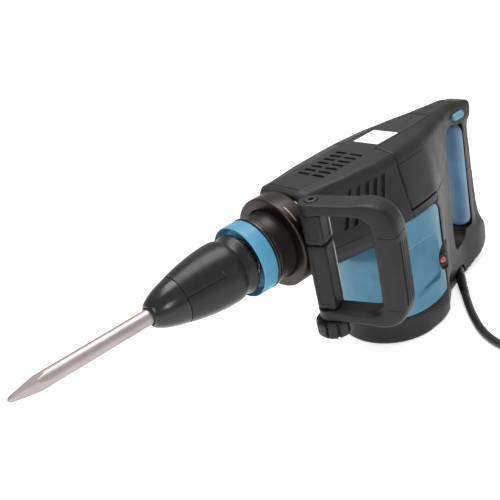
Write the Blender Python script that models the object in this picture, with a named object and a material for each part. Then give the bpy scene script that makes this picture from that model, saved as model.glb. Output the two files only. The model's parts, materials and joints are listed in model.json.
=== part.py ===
"""Electric demolition hammer, 10 kg class, with a bull-point chisel.

Lengths below are in millimetres. Along the hammer axis they are counted as t,
from the mouth of the tool holder towards the rear handle; y points to the
operator's right and z up, from the hammer axis. world() turns them into metres in
the part's frame: origin in the middle of the round foot, +X to the rear, +Z up.
"""

import math

import bmesh
import bpy
from mathutils import Matrix, Vector

# ---------------------------------------------------------------- main sizes
MOTOR_T = 361.0        # motor axis, behind the mouth
AXIS_H = 205.0         # hammer axis above the foot
CHISEL_SHOWN = 167.0   # chisel in front of the mouth
CHISEL_LEN = 280.0
SHANK_R = 9.0
BARREL_R = 43.0
SEAT_R = 50.0          # seat of the clamp band
BAND_R = 57.0
MOTOR_R = 73.0
PARTING_Z = -22.0      # seam between the upper covers and the crank housing
SHROUD_T = 410.0       # seam between the motor housing and the rear shroud
CAP_TOP = -168.0
FOOT_Z = -205.0
CORD_R = 5.75
GAP = 0.35             # clearance between touching pieces

GRIP_BOLT = (197.0, -64.0)    # side-handle bolt, t and y
GRIP_TURN = math.radians(18.6)  # how far the side handle points to the rear

GEAR_T = 317.0         # crank shaft
GEAR_TEETH, PINION_TEETH = 40, 9
CRANK_R = 17.0
GEAR_R = (MOTOR_T - GEAR_T) * GEAR_TEETH / (GEAR_TEETH + PINION_TEETH) - 0.1
PINION_R = MOTOR_T - GEAR_T - GEAR_R - 0.3
PIN_T = GEAR_T - CRANK_R
ROD_LEN = 62.0
WRIST_T = PIN_T - ROD_LEN


def world(t, y, z):
    return Vector(((t - MOTOR_T) / 1000.0, y / 1000.0, (z + AXIS_H) / 1000.0))


# ---------------------------------------------------------------- a clean scene
for item in list(bpy.data.objects):
    bpy.data.objects.remove(item, do_unlink=True)
for mesh in list(bpy.data.meshes):
    bpy.data.meshes.remove(mesh)

scene_collection = bpy.context.scene.collection
materials = {}


def material(name, colour, rough, metal=0.0):
    mat = bpy.data.materials.new(name)
    mat.use_nodes = True
    shader = mat.node_tree.nodes["Principled BSDF"]
    shader.inputs["Base Color"].default_value = (*colour, 1.0)
    shader.inputs["Roughness"].default_value = rough
    shader.inputs["Metallic"].default_value = metal
    mat.diffuse_color = (*colour, 1.0)
    materials[name] = mat


material("black_plastic", (0.030, 0.029, 0.028), 0.55)
material("black_rubber", (0.016, 0.016, 0.016), 0.38)
material("blue_plastic", (0.085, 0.235, 0.345), 0.42)
material("blue_grip", (0.120, 0.215, 0.300), 0.60)
material("chisel_steel", (0.56, 0.51, 0.49), 0.38, 1.0)
material("machined_steel", (0.55, 0.55, 0.56), 0.30, 1.0)
material("band_steel", (0.30, 0.29, 0.28), 0.40, 1.0)
material("aluminium_casting", (0.48, 0.48, 0.49), 0.50, 1.0)
material("copper_brass", (0.75, 0.48, 0.22), 0.35, 1.0)
material("red_lens", (0.60, 0.03, 0.04), 0.20)
material("carbon", (0.05, 0.05, 0.05), 0.70)
material("circuit_green", (0.05, 0.22, 0.10), 0.50)


# ---------------------------------------------------------------- mesh helpers
def finish(name, bm, mat, smooth=True, origin=None):
    """Closes up a bmesh into an object, with its origin on a joint axis if given."""
    bmesh.ops.remove_doubles(bm, verts=bm.verts, dist=1e-6)
    bmesh.ops.recalc_face_normals(bm, faces=bm.faces)
    mesh = bpy.data.meshes.new(name)
    bm.to_mesh(mesh)
    bm.free()
    if smooth:
        mesh.shade_smooth()
        mesh.set_sharp_from_angle(angle=math.radians(32))
    obj = bpy.data.objects.new(name, mesh)
    scene_collection.objects.link(obj)
    mesh.materials.append(materials[mat])
    if origin is not None:
        place = world(*origin)
        mesh.transform(Matrix.Translation(-place))
        obj.location = place
    return obj


def rings(bm, loops, caps=True, closed=False):
    """Joins equal loops of points; a loop of one point is a pole."""
    made = [[bm.verts.new(p) for p in loop] for loop in loops]
    pairs = list(zip(made, made[1:]))
    if closed:
        pairs.append((made[-1], made[0]))
    for first, second in pairs:
        n = max(len(first), len(second))
        for i in range(n):
            j = (i + 1) % n
            if len(first) == 1:
                bm.faces.new((first[0], second[i], second[j]))
            elif len(second) == 1:
                bm.faces.new((first[i], first[j], second[0]))
            else:
                bm.faces.new((first[i], first[j], second[j], second[i]))
    if caps and not closed:
        for loop in (made[0], made[-1]):
            if len(loop) > 2:
                bm.faces.new(loop)


def turned(name, profile, mat, axis="t", centre=(0.0, 0.0), steps=32, origin=None, turn=0.0):
    """A turned piece. profile is (position along the axis, radius); a profile that
    starts and ends on radius 0 is solid, any other is closed into a ring."""
    def point(a, r, ang):
        c, s = r * math.cos(ang), r * math.sin(ang)
        if axis == "t":
            return world(a, centre[0] + s, centre[1] + c)
        if axis == "z":
            return world(centre[0] + c, centre[1] + s, a)
        return world(centre[0] + c, a, centre[1] + s)

    bm = bmesh.new()
    loops = []
    for a, r in profile:
        if r == 0:
            loops.append([point(a, 0, 0)])
        else:
            loops.append([point(a, r, turn + 2 * math.pi * i / steps) for i in range(steps)])
    solid = profile[0][1] == 0 and profile[-1][1] == 0
    rings(bm, loops, caps=False, closed=not solid)
    return finish(name, bm, mat, origin=origin)


def tube(name, lo, hi, inner, outer, mat, chamfer=0.0, **more):
    c = chamfer
    if c:
        profile = [(lo + c, outer), (hi - c, outer), (hi, outer - c), (hi, inner), (lo, inner), (lo, outer - c)]
        profile = [(lo, outer - c), (lo + c, outer), (hi - c, outer), (hi, outer - c), (hi, inner), (lo, inner)]
    else:
        profile = [(lo, outer), (hi, outer), (hi, inner), (lo, inner)]
    return turned(name, profile, mat, **more)


def rod(name, lo, hi, radius, mat, chamfer=0.0, **more):
    c = chamfer
    if c:
        profile = [(lo, 0), (lo, radius - c), (lo + c, radius), (hi - c, radius), (hi, radius - c), (hi, 0)]
    else:
        profile = [(lo, 0), (lo, radius), (hi, radius), (hi, 0)]
    return turned(name, profile, mat, **more)


def lofted(name, sections, mat, origin=None, smooth=True):
    """sections: lists of (t, y, z) loops of equal length."""
    bm = bmesh.new()
    rings(bm, [[world(*p) for p in loop] for loop in sections])
    return finish(name, bm, mat, smooth=smooth, origin=origin)


def mirrored_section(t, half):
    """A closed section at t from its right half, given from the top centre down."""
    right = [(t, y, z) for y, z in half]
    left = [(t, -y, z) for y, z in reversed(half) if y > 0]
    return right + left


def prism(name, outline, lo, hi, mat, axis="y", origin=None, smooth=False):
    """A polygon pushed along an axis. outline is (t, z) for y, (t, y) for z, (y, z) for t."""
    def point(a, b, w):
        return {"y": world(a, w, b), "z": world(a, b, w), "t": world(w, a, b)}[axis]

    bm = bmesh.new()
    rings(bm, [[point(a, b, lo) for a, b in outline], [point(a, b, hi) for a, b in outline]])
    return finish(name, bm, mat, smooth=smooth, origin=origin)


def block(name, lo, hi, mat, bevel=0.0, origin=None):
    bm = bmesh.new()
    a, b = world(*lo), world(*hi)
    rings(bm, [[Vector((x, y, z)) for x, y in ((a.x, a.y), (b.x, a.y), (b.x, b.y), (a.x, b.y))] for z in (a.z, b.z)])
    if bevel:
        bmesh.ops.bevel(bm, geom=list(bm.edges), offset=bevel / 1000.0, segments=2, profile=0.5, affect="EDGES")
    return finish(name, bm, mat, smooth=bevel > 0, origin=origin)


def rounded(points, radius, steps=3):
    """A polygon with each corner rounded; radius may be one number or one per corner."""
    out = []
    n = len(points)
    for i, p in enumerate(points):
        r = radius[i] if isinstance(radius, (list, tuple)) else radius
        p, a, b = Vector(p), Vector(points[i - 1]), Vector(points[(i + 1) % n])
        if r <= 0:
            out.append((p.x, p.y))
            continue
        u, v = (a - p).normalized(), (b - p).normalized()
        half = math.acos(max(-1.0, min(1.0, u.dot(v)))) / 2
        reach = min(r / math.tan(half), 0.48 * (a - p).length, 0.48 * (b - p).length)
        start, end = p + u * reach, p + v * reach
        for k in range(steps + 1):
            w = k / steps
            q = start.lerp(p, w).lerp(p.lerp(end, w), w)
            out.append((q.x, q.y))
    return out


def swept(name, path, across, section, mat, closed=True, origin=None):
    """A section carried round a flat path. path: world points; across: the normal of
    the path's plane; section: (in-plane, across) offsets in millimetres, or a list of them."""
    bm = bmesh.new()
    loops = []
    n = len(path)
    for i, p in enumerate(path):
        before = path[i - 1] if (closed or i > 0) else p
        after = path[(i + 1) % n] if (closed or i < n - 1) else p
        along = (after - before).normalized()
        side = along.cross(across).normalized()
        cut = section[i] if isinstance(section[0], list) else section
        loops.append([p + side * (u / 1000.0) + across * (v / 1000.0) for u, v in cut])
    rings(bm, loops, closed=closed)
    return finish(name, bm, mat, origin=origin)


def combine(target, tools, operation):
    for tool in tools:
        mod = target.modifiers.new(operation.lower(), "BOOLEAN")
        mod.operation = operation
        mod.solver = "EXACT"
        mod.object = tool
        tool.hide_render = True
        tool.display_type = "WIRE"
    return target


def cut(target, *tools):
    return combine(target, tools, "DIFFERENCE")


def add(target, *tools):
    return combine(target, tools, "UNION")


def keep(target, *tools):
    return combine(target, tools, "INTERSECT")


def empty(name, place):
    obj = bpy.data.objects.new(name, None)
    obj.location = world(*place)
    obj.empty_display_size = 0.02
    scene_collection.objects.link(obj)
    return obj


# ---------------------------------------------------------------- chisel and holder
chisel = turned(
    "chisel",
    [(-CHISEL_SHOWN, 0), (-CHISEL_SHOWN, 2.4), (-CHISEL_SHOWN + 30, SHANK_R), (CHISEL_LEN - CHISEL_SHOWN - 2, SHANK_R),
     (CHISEL_LEN - CHISEL_SHOWN, SHANK_R - 2), (CHISEL_LEN - CHISEL_SHOWN, 0)],
    "chisel_steel", steps=24, origin=(0, 0, 0),
)
# two closed locking slots in the shank, on its left and right
for side in (-1, 1):
    slot = block(f"slot_cutter_{side}", (50, side * SHANK_R - 2.6, -4.2), (102, side * SHANK_R + 2.6, 4.2), "chisel_steel")
    cut(chisel, slot)

nose_cap = turned(
    "nose_cap",
    [(-1.0, 10.2), (-1.0, 12.6), (1.0, 15.0), (6, 18.4), (13, 21.4), (22, 24.4), (31, 26.9), (35.4, 28.0), (35.4, 16.6), (22, 16.6), (22, 13.2), (12, 10.2)],
    "black_rubber", steps=28,
)
chuck_sleeve = turned(
    "chuck_sleeve",
    [(36.0, 28.2), (48, 31.2), (62, 34.0), (76, 36.2), (90, 37.6), (102, 38.0), (110, 37.4), (114.5, 36.0), (116, 34.6), (117.5, 34.6),
     (118.5, 36.4), (124, 37.2), (126, 36.2), (126, 30.0), (60, 30.0), (52, 24.4), (36.0, 24.4)],
    "black_plastic", steps=30, origin=(126, 0, 0),
)
tool_holder = turned(
    "tool_holder",
    [(10, 9.4), (10, 10.0), (12.4, 10.0), (22.6, 12.8), (22.6, 16.2), (35.8, 16.2), (35.8, 20.0), (41, 20.0), (41, 18.5), (134, 18.5),
     (138, 24.0), (172, 24.0), (172, 14.6), (116, 14.6), (114, 9.4)],
    "machined_steel", steps=20, origin=(100, 0, 0),
)
for side in (-1, 1):
    window = block(f"roller_window_{side}", (52, side * 14 - 5.5, -4.0), (78, side * 14 + 5.5, 4.0), "machined_steel")
    cut(tool_holder, window)
for name, side in (("lock_roller_left", -1), ("lock_roller_right", 1)):
    rod(name, 54, 70, 3.2, "machined_steel", chamfer=0.8, centre=(side * 11.0, 0), steps=14)
spring_turns, spring_steps = 4, 9
spring_pts = []
for k in range(spring_turns * spring_steps + 1):
    a = 2 * math.pi * k / spring_steps
    spring_pts.append(world(88 + 30 * k / (spring_turns * spring_steps), 23.0 * math.sin(a), 23.0 * math.cos(a)))
curve = bpy.data.curves.new("sleeve_spring", "CURVE")
curve.dimensions = "3D"
curve.bevel_depth, curve.bevel_resolution, curve.use_fill_caps = 0.0013, 0, True
spline = curve.splines.new("POLY")
spline.points.add(len(spring_pts) - 1)
for point, p in zip(spline.points, spring_pts):
    point.co = (*p, 1.0)
spring = bpy.data.objects.new("sleeve_spring", curve)
curve.materials.append(materials["machined_steel"])
scene_collection.objects.link(spring)

flutes = 12
change_ring = turned(
    "change_ring",
    [(126.6, 39.4), (126.6, 42.0), (129.5, 44.4), (147.5, 44.4), (148.5, 43.4), (148.5, 24.5), (139.0, 24.5), (139.0, 39.4)],
    "blue_plastic", steps=flutes * 2, origin=(137, 0, 0),
)
ring_seal = tube("ring_seal", 149.0, 153.6, 24.6, 44.8, "black_rubber", steps=28)

# ---------------------------------------------------------------- barrel and hammer works
barrel = turned(
    "barrel",
    [(154.0, 42.0), (155.0, BARREL_R), (181.5, BARREL_R), (184.0, SEAT_R - 0.6), (207.5, SEAT_R - 0.6), (207.5, 38.0), (219.0, 38.0), (219.0, 49.6),
     (226.0, 49.6), (226.0, 28.6), (172.6, 28.6), (172.6, 24.6), (154.0, 24.6)],
    "black_plastic", steps=32,
)
impact_bolt = turned(
    "impact_bolt",
    [(117.4, 0), (117.4, 8.6), (124, 8.6), (127, 14.0), (150, 14.0), (154, 10.5), (160, 10.5), (160, 0)],
    "machined_steel", steps=24, origin=(117, 0, 0),
)
cylinder = tube("cylinder_liner", 173.0, 274.0, 23.0, 28.2, "machined_steel", steps=24)
striker = turned(
    "striker", [(170, 0), (170, 11.0), (182, 11.0), (184, 22.6), (214, 22.6), (214, 0)],
    "machined_steel", steps=28, origin=(190, 0, 0),
)
piston = turned(
    "piston",
    [(219, 0), (219, 21.6), (220, 22.6), (258, 22.6), (258, 18.0), (228, 18.0), (228, 0)],
    "aluminium_casting", steps=28, origin=(WRIST_T, 0, 0),
)
wrist_pin = rod("wrist_pin", -16.8, 16.8, 4.4, "machined_steel", axis="z", centre=(WRIST_T, 0), steps=14)
# connecting rod: two eyes and a shank, in one flat forging
eye = tube("connecting_rod", -6.0, 6.0, 4.8, 9.0, "machined_steel", axis="z", centre=(WRIST_T, 0), steps=20, origin=(WRIST_T, 0, 0))
big = tube("rod_big_eye", -6.0, 6.0, 7.2, 12.0, "machined_steel", axis="z", centre=(PIN_T, 0), steps=20)
shank = block("rod_shank", (WRIST_T + 7.0, -4.4, -4.0), (PIN_T - 9.6, 4.4, 4.0), "machined_steel")
add(eye, big, shank)
crank_gear = turned(
    "crank_gear",
    [(-55, 0), (-55, 8.6), (-36, 8.6), (-36, GEAR_R), (-27, GEAR_R), (-27, 24.0), (-20, 23.6), (-20, 0)],
    "machined_steel", axis="z", centre=(GEAR_T, 0), steps=40, origin=(GEAR_T, 0, 0),
)
crank_pin = rod("crank_pin_core", -22, -6.6, 6.6, "machined_steel", axis="z", centre=(PIN_T, 0), steps=16)
add(crank_gear, crank_pin)
crank_bearing = tube("crank_bearing", -54.0, -42.0, 9.0, 17.5, "machined_steel", axis="z", centre=(GEAR_T, 0), steps=18)

# ---------------------------------------------------------------- crank housing
def plan(inset=0.0, front=0.0):
    """Outline of the motor housing seen from above, right half and left half."""
    r = MOTOR_R - inset
    half = [(MOTOR_T - r * math.cos(math.radians(a)), r * math.sin(math.radians(a))) for a in range(0, 91, 10)]
    half[0] = (half[0][0], 0.0)
    rear = [(382.0, 72.4), (396.0, 69.6), (SHROUD_T, 65.0)]
    half += [(t, y - inset) for t, y in rear]
    return half


def envelope(t, tighter=0.0):
    """Right half of the body's outer section at t, from the top centre to the foot."""
    rows = {
        212: [(0, 54.5), (24, 54.5), (36, 51.0), (41, 44.0), (44, 20), (46, -22), (46, -60), (46, -150), (46, -205)],
        217: [(0, 58.0), (26, 58.0), (38, 54.0), (43, 46.0), (45, 20), (48, -22), (48, -60), (48, -150), (48, -205)],
        280: [(0, 58.0), (27, 58.0), (47, 53.5), (52, 46.0), (56, 20), (62, -22), (62, -60), (62, -150), (62, -205)],
        350: [(0, 58.0), (27, 58.0), (51, 53.0), (58, 46.0), (63, 20), (72, -22), (73, -60), (73, -150), (73, -205)],
        400: [(0, 58.0), (26, 58.0), (47, 53.0), (54, 46.0), (60, 20), (68, -22), (69, -60), (69, -150), (66, -205)],
        440: [(0, 57.5), (23, 57.5), (38, 53.0), (44, 46.0), (47, 20), (51, -22), (52, -60), (51, -150), (42, -205)],
        488: [(0, 56.5), (16, 56.5), (25, 52.0), (29, 44.0), (28, 20), (27, -22), (26, -60), (27, -150), (30, -205)],
        516: [(0, 55.5), (13, 55.5), (19, 51.0), (21, 43.0), (18.5, 20), (18, -22), (18, -60), (20, -150), (27, -205)],
        556: [(0, 53.0), (10, 52.5), (16, 47.0), (18, 40.0), (17.5, 20), (17.5, -22), (17.5, -60), (19, -150), (21, -205)],
        583: [(0, 46.0), (6, 46.0), (10, 42.0), (12, 36.0), (12, 20), (12, -22), (12, -60), (14, -150), (13, -205)],
    }
    keys = sorted(rows)
    t = min(max(t, keys[0]), keys[-1])
    for a, b in zip(keys, keys[1:]):
        if a <= t <= b:
            w = (t - a) / (b - a)
            mix = [(ya * (1 - w) + yb * w, za * (1 - w) + zb * w) for (ya, za), (yb, zb) in zip(rows[a], rows[b])]
            break
    return [(max(0.0, y - tighter) if y else 0.0, z - (tighter if z > 30 else 0.0)) for y, z in mix]


def width_at(t, z):
    half = envelope(t)
    for (ya, za), (yb, zb) in zip(half, half[1:]):
        if zb <= z <= za and za > zb:
            w = (za - z) / (za - zb)
            return ya * (1 - w) + yb * w
    return half[-1][0]


casing = block("crank_housing", (226.4, -39.9, -40.0), (378.0, 39.9, 42.0), "aluminium_casting")
belly_sections = []
for t, low in ((226.4, -58.0), (258, -57.0), (289, -56.0), (326.6, -56.0)):
    w = width_at(t, PARTING_Z)
    belly_sections.append(mirrored_section(t, [(0, -22.4), (w, -22.4), (w - 1.5, -38.0), (w - 12, -51.0), (w * 0.45, low), (0, low)]))
belly = lofted("crank_belly", belly_sections, "black_plastic")
deck_half = [(326.0, width_at(326, -22))] + [(t, width_at(t, -22)) for t in (350, 380, 400)] + [(SHROUD_T - GAP, width_at(SHROUD_T, -22))]
deck = prism("crank_deck", [(t, y) for t, y in deck_half] + [(t, -y) for t, y in reversed(deck_half)], -31.6, -22.4, "black_plastic", axis="z")
cavity = block("crank_cavity", (232.0, -36.8, -37.4), (374.0, 36.8, 37.0), "aluminium_casting")
front_bore = rod("crank_front_bore", 200, 240, 28.8, "aluminium_casting", steps=32)
gear_well = rod("crank_gear_well", -60.0, -30.0, 17.9, "aluminium_casting", axis="z", centre=(GEAR_T, 0), steps=24)
shaft_hole = rod("crank_shaft_hole", -70.0, -30.0, 13.0, "aluminium_casting", axis="z", centre=(MOTOR_T, 0), steps=24)
vent_hole = rod("crank_vent_hole", 34.0, 60.0, 12.0, "aluminium_casting", axis="z", centre=(300, 0), steps=20)
add(casing, belly, deck)
cut(casing, cavity, front_bore, gear_well, shaft_hole, vent_hole)
casing.data.materials[0] = materials["black_plastic"]

# ---------------------------------------------------------------- top cover
cover_steps = (212, 217, 280, 350 - GAP)
top_cover = lofted("top_cover", [mirrored_section(t, [p for p in envelope(t) if p[1] >= -21] + [(width_at(t, -21.9), -21.9), (0, -21.9)]) for t in cover_steps], "black_plastic")
inner = []
for t in (226.0, 280, 352):
    w = [(max(0.0, y - 3.5) if y else 0.0, z - (5.0 if z > 50 else 3.5 if z > 30 else 0.0)) for y, z in envelope(t) if z >= -21]
    inner.append(mirrored_section(t, w + [(width_at(t, -30) - 3.5, -30.0), (0, -30.0)]))
inner_tool = lofted("cover_inner", inner, "black_plastic", smooth=False)
barrel_relief = rod("cover_barrel_relief", 205, 230, 51.0, "black_plastic", steps=36)
cut(top_cover, inner_tool, barrel_relief)
for row, y in ((0, -17.8), (1, 5.8)):
    for k in range(7):
        t = 252.5 + 11.3 * k
        vent = block(f"vent_{row}_{k}", (t, y - 9.0, 45), (t + 4.2, y + 9.0, 65), "black_plastic")
        cut(top_cover, vent)


def tongue(name, last, wider, low, high):
    """The flat strip of the top cover that runs back over the rear housing."""
    loops = []
    for t in (342.0, 400.0, 440.0, last):
        y1, z1 = envelope(t)[1]
        y1 += wider
        loops.append([(t, -y1, low), (t, y1, low), (t, y1, z1 + high), (t, -y1, z1 + high)])
    return lofted(name, loops, "black_plastic", smooth=False)


add(top_cover, tongue("cover_tongue", 470.0, 0.0, 54.9, 0.0))

# ---------------------------------------------------------------- motor housing and foot cap
def plan_loop(inset, last):
    half = plan(inset)
    half = [(min(t, last), y) for t, y in half]
    return half + [(t, -y) for t, y in reversed(half[1:])]


motor_housing = prism("motor_housing", plan_loop(0.0, SHROUD_T - GAP), CAP_TOP + GAP, -76.0, "blue_plastic", axis="z", smooth=True)
shoulder_low = [(t, y) for t, y in plan_loop(0.0, SHROUD_T - GAP)]
shoulder_high = [(t, y) for t, y in plan_loop(9.0, SHROUD_T - GAP)]
bm = bmesh.new()
rings(bm, [[world(t, y, -77.0) for t, y in shoulder_low], [world(t, y, -58.6) for t, y in shoulder_high]])
shoulder = finish("motor_shoulder", bm, "blue_plastic")
upper_half = [(327.4, width_at(327.4, -40) - 1.0), (340, width_at(340, -40)), (350, 72.6), (361, 73.0), (382, 72.4), (396, 69.6), (SHROUD_T - GAP, 65.0)]
upper_block = prism("motor_upper", upper_half + [(t, -y) for t, y in reversed(upper_half)], -80.0, -32.0, "blue_plastic", axis="z")
motor_bore = rod("motor_bore", -190.0, -56.0, 62.0, "blue_plastic", axis="z", centre=(MOTOR_T - 4, 0), steps=40)
motor_throat = block("motor_throat", (300.0, -41.5, -59.0), (381.0, 41.5, -20.0), "blue_plastic")
add(motor_housing, shoulder, upper_block)
rear_pocket = block("motor_rear_pocket", (392, -52, -190), (430, 52, -60), "blue_plastic")
cut(motor_housing, motor_bore, motor_throat, rear_pocket)
lamp_hole = rod("lamp_hole", -90.0, -40.0, 9.4, "black_plastic", axis="y", centre=(402.0, -118.0), steps=24)
cut(motor_housing, lamp_hole)

cap_half = plan(0.0) + [(420.0, 58.0), (434.0, 49.0), (448.0, 40.0)]
cap_half = [(t, y) for t, y in cap_half]
foot_half = [(t + (1.0 if t < 361 else 0.0), max(0.0, y - 1.6) if y else 0.0) for t, y in cap_half]
bm = bmesh.new()
low = [world(t, y, FOOT_Z) for t, y in foot_half + [(t, -y) for t, y in reversed(foot_half[1:])]]
mid = [world(t, y, FOOT_Z + 4.0) for t, y in cap_half + [(t, -y) for t, y in reversed(cap_half[1:])]]
high = [world(t, y, CAP_TOP) for t, y in cap_half + [(t, -y) for t, y in reversed(cap_half[1:])]]
rings(bm, [low, mid, high])
bottom_cap = finish("bottom_cap", bm, "black_plastic")
cap_bore = rod("cap_bore", -200.5, -160.0, 64.0, "black_plastic", axis="z", centre=(MOTOR_T - 2, 0), steps=40)
cap_pocket = block("cap_pocket", (400, -40, -200.5), (443.5, 40, -160), "black_plastic")
cut(bottom_cap, cap_bore, cap_pocket)
seat = tube("lower_bearing_seat", -201.5, -187.0, 16.6, 20.5, "black_plastic", axis="z", centre=(MOTOR_T, 0), steps=24)
add(bottom_cap, seat)

# ---------------------------------------------------------------- rear housing with the D handle
side_outline = (
    [(350.0 + GAP, 70.0), (500.0, 70.0)]
    + rounded([(536, 53.0), (566, 46.0), (569.5, 8.0)], [14, 22, 8])
    + [(568.5, -60.0), (569.5, -120.0)]
    + rounded([(573.0, -140.0), (581.0, -155.0), (580.0, -184.0), (560.0, -192.0)], [8, 8, 14, 8])
    + [(520.0, -197.5), (478.0, -203.0), (448.0 + GAP, -204.0), (448.0 + GAP, CAP_TOP + GAP), (SHROUD_T, CAP_TOP + GAP), (SHROUD_T, -21.6), (350.0 + GAP, -21.6)]
)
opening = rounded([(487.0, 25.0), (523.0, 25.0), (523.0, -60.0), (523.0, -144.0), (510.0, -154.0), (485.0, -156.0), (489.5, -60.0)], [12, 10, 0, 10, 8, 12, 0])


def rear_half(name, side):
    steps = (350, 372, 400, 420, 440, 462, 488, 500, 516, 536, 556, 572, 583)
    loops = []
    for t in steps:
        half = envelope(t)
        near = 0.2 if side > 0 else -0.2
        loop = [(t, near, half[0][1])] + [(t, side * y, z) for y, z in half[1:]] + [(t, near, half[-1][1])]
        loops.append(loop)
    shell = lofted(name, loops, "black_plastic")
    sides = prism(name + "_outline", side_outline, -90, 90, "black_plastic")
    hole = prism(name + "_opening", opening, -60, 60, "black_plastic")
    keep(shell, sides)
    # hollow of the body part, open at the parting plane
    hollow = []
    for t in (348, 372, 400, 420, 440, 462, 480):
        half = [(max(0.0, y - 4.0) if y else 0.0, z - (5.0 if z > 50 else 4.0 if z > 30 else 0.0)) for y, z in envelope(t)]
        half = [p for p in half if p[1] > -140] + [(width_at(t, -160) - 6.0, -162.0)]
        hollow.append([(t, -side * 1.0, half[0][1])] + [(t, side * y, z) for y, z in half[1:]] + [(t, -side * 1.0, -162.0)])
    inside = lofted(name + "_hollow", hollow, "black_plastic", smooth=False)
    switch_room = block(name + "_switch_room", (474, -14.0 if side < 0 else -1.0, 27.0), (544, 1.0 if side < 0 else 14.0, 45.0), "black_plastic")
    insert_seat = prism(name + "_insert_seat", rounded([(505.0, 21.6), (541.6, 21.6), (541.6, -138.6), (505.0, -138.6)], [0, 9, 9, 0]), -40, 40, "black_plastic")
    tongue_room = tongue(name + "_tongue_room", 470.0 + GAP, GAP, 54.5, 8.0)
    cut(shell, hole, inside, switch_room, insert_seat, tongue_room)
    return shell


rear_left = rear_half("rear_housing_left", -1)
rear_right = rear_half("rear_housing_right", 1)
cut(rear_left, lamp_hole)
lever_slot = prism("lever_slot", rounded([(516.3, 29.9), (540.7, 29.9), (540.7, 41.1), (516.3, 41.1)], 5.2), -40.0, 40.0, "black_plastic")
cut(rear_left, lever_slot)
cut(rear_right, lever_slot)
dial_slot = block("dial_slot", (474, -5.2, -52), (495, 5.2, -22), "black_plastic")
cut(rear_left, dial_slot)
cut(rear_right, dial_slot)

grip_outline = rounded([(523.6, 21.0), (541.0, 21.0), (541.0, -138.0), (523.6, -138.0)], 8.4, steps=4)
bm = bmesh.new()
layers = []
for y, inset in ((-19.6, 5.0), (-18.2, 1.6), (-15.0, 0.0), (15.0, 0.0), (18.2, 1.6), (19.6, 5.0)):
    cx = sum(p[0] for p in grip_outline) / len(grip_outline)
    cz = sum(p[1] for p in grip_outline) / len(grip_outline)
    sx, sz = 1 - inset / 11.0, 1 - inset / 80.0
    layers.append([world(cx + (t - cx) * sx, y, cz + (z - cz) * sz) for t, z in grip_outline])
rings(bm, layers)
grip_insert = finish("grip_insert", bm, "blue_grip")

# switch: a lever pushed through the handle from side to side
switch_lever = prism("switch_lever", rounded([(517.0, 30.6), (540.0, 30.6), (540.0, 40.4), (517.0, 40.4)], 4.7), -24.6, 20.6, "blue_grip", smooth=True, origin=(528.5, 0, 35.5))
switch_unit = block("switch_unit", (480.0, -13.0, 28.0), (515.4, 13.0, 44.0), "black_plastic", bevel=1.0)
controller = block("controller", (424.0, -24.0, -20.0), (460.0, 24.0, 36.0), "circuit_green", bevel=1.2)
dial = turned(
    "speed_dial", [(-4.6, 0), (-4.6, 10.6), (-3.8, 11.6), (3.8, 11.6), (4.6, 10.6), (4.6, 0)],
    "black_rubber", axis="y", centre=(481.0, -37.0), steps=24, origin=(481.0, 0, -37.0),
)

lamp_bezel = tube("lamp_bezel", -72.0, -60.0, 5.4, 9.0, "black_plastic", axis="y", centre=(402.0, -118.0), steps=24)
indicator_lamp = turned(
    "indicator_lamp", [(-71.2, 0), (-71.2, 2.2), (-70.0, 4.2), (-68.0, 5.0), (-56.0, 5.0), (-56.0, 0)],
    "red_lens", axis="y", centre=(402.0, -118.0), steps=20,
)

# ---------------------------------------------------------------- motor
stator = tube("stator", -146.0, -82.0, 31.0, 56.5, "machined_steel", axis="z", centre=(MOTOR_T, 0), steps=28)
armature_shaft = turned(
    "armature_shaft",
    [(-198.0, 0), (-198.0, 5.8), (-36.5, 5.8), (-36.5, PINION_R), (-25.5, PINION_R), (-25.5, 0)],
    "machined_steel", axis="z", centre=(MOTOR_T, 0), steps=PINION_TEETH * 2, origin=(MOTOR_T, 0, -100),
)
armature_core = tube("armature_core", -140.0, -86.0, 6.2, 29.8, "machined_steel", axis="z", centre=(MOTOR_T, 0), steps=24, origin=(MOTOR_T, 0, -113))
commutator = tube("commutator", -172.0, -152.0, 6.2, 16.5, "copper_brass", axis="z", centre=(MOTOR_T, 0), steps=18, origin=(MOTOR_T, 0, -162))
fan = tube("cooling_fan", -79.0, -75.4, 6.2, 49.0, "black_plastic", axis="z", centre=(MOTOR_T, 0), steps=24, origin=(MOTOR_T, 0, -77))
hub = tube("fan_hub", -76.0, -64.0, 6.2, 14.0, "black_plastic", axis="z", centre=(MOTOR_T, 0), steps=20)
add(fan, hub)
for k in range(7):
    a = 2 * math.pi * k / 7
    c, s = math.cos(a), math.sin(a)
    bm = bmesh.new()
    loop = [(13.0, -1.1), (47.0, 4.9), (47.6, 7.0), (13.0, 1.1)]
    rings(bm, [[world(MOTOR_T + u * c - v * s, u * s + v * c, z) for u, v in loop] for z in (-76.0, -65.0)])
    add(fan, finish(f"fan_blade_{k}", bm, "black_plastic", smooth=False))
upper_bearing = tube("upper_bearing", -52.0, -42.0, 6.2, 12.6, "machined_steel", axis="z", centre=(MOTOR_T, 0), steps=18)
lower_bearing = tube("lower_bearing", -198.0, -188.0, 6.2, 16.2, "machined_steel", axis="z", centre=(MOTOR_T, 0), steps=18)
for name, side in (("brush_left", -1), ("brush_right", 1)):
    y = sorted((side * 17.0, side * 34.0))
    block(name, (MOTOR_T - 5.5, y[0], -167.0), (MOTOR_T + 5.5, y[1], -156.0), "carbon")
    y = sorted((side * 21.0, side * 46.0))
    holder = block(name.replace("brush", "brush_holder"), (MOTOR_T - 9.0, y[0], -171.0), (MOTOR_T + 9.0, y[1], -152.0), "copper_brass")
    y = sorted((side * 15.0, side * 40.0))
    cut(holder, block(name + "_way", (MOTOR_T - 5.9, y[0], -167.4), (MOTOR_T + 5.9, y[1], -155.6), "carbon"))

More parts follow.
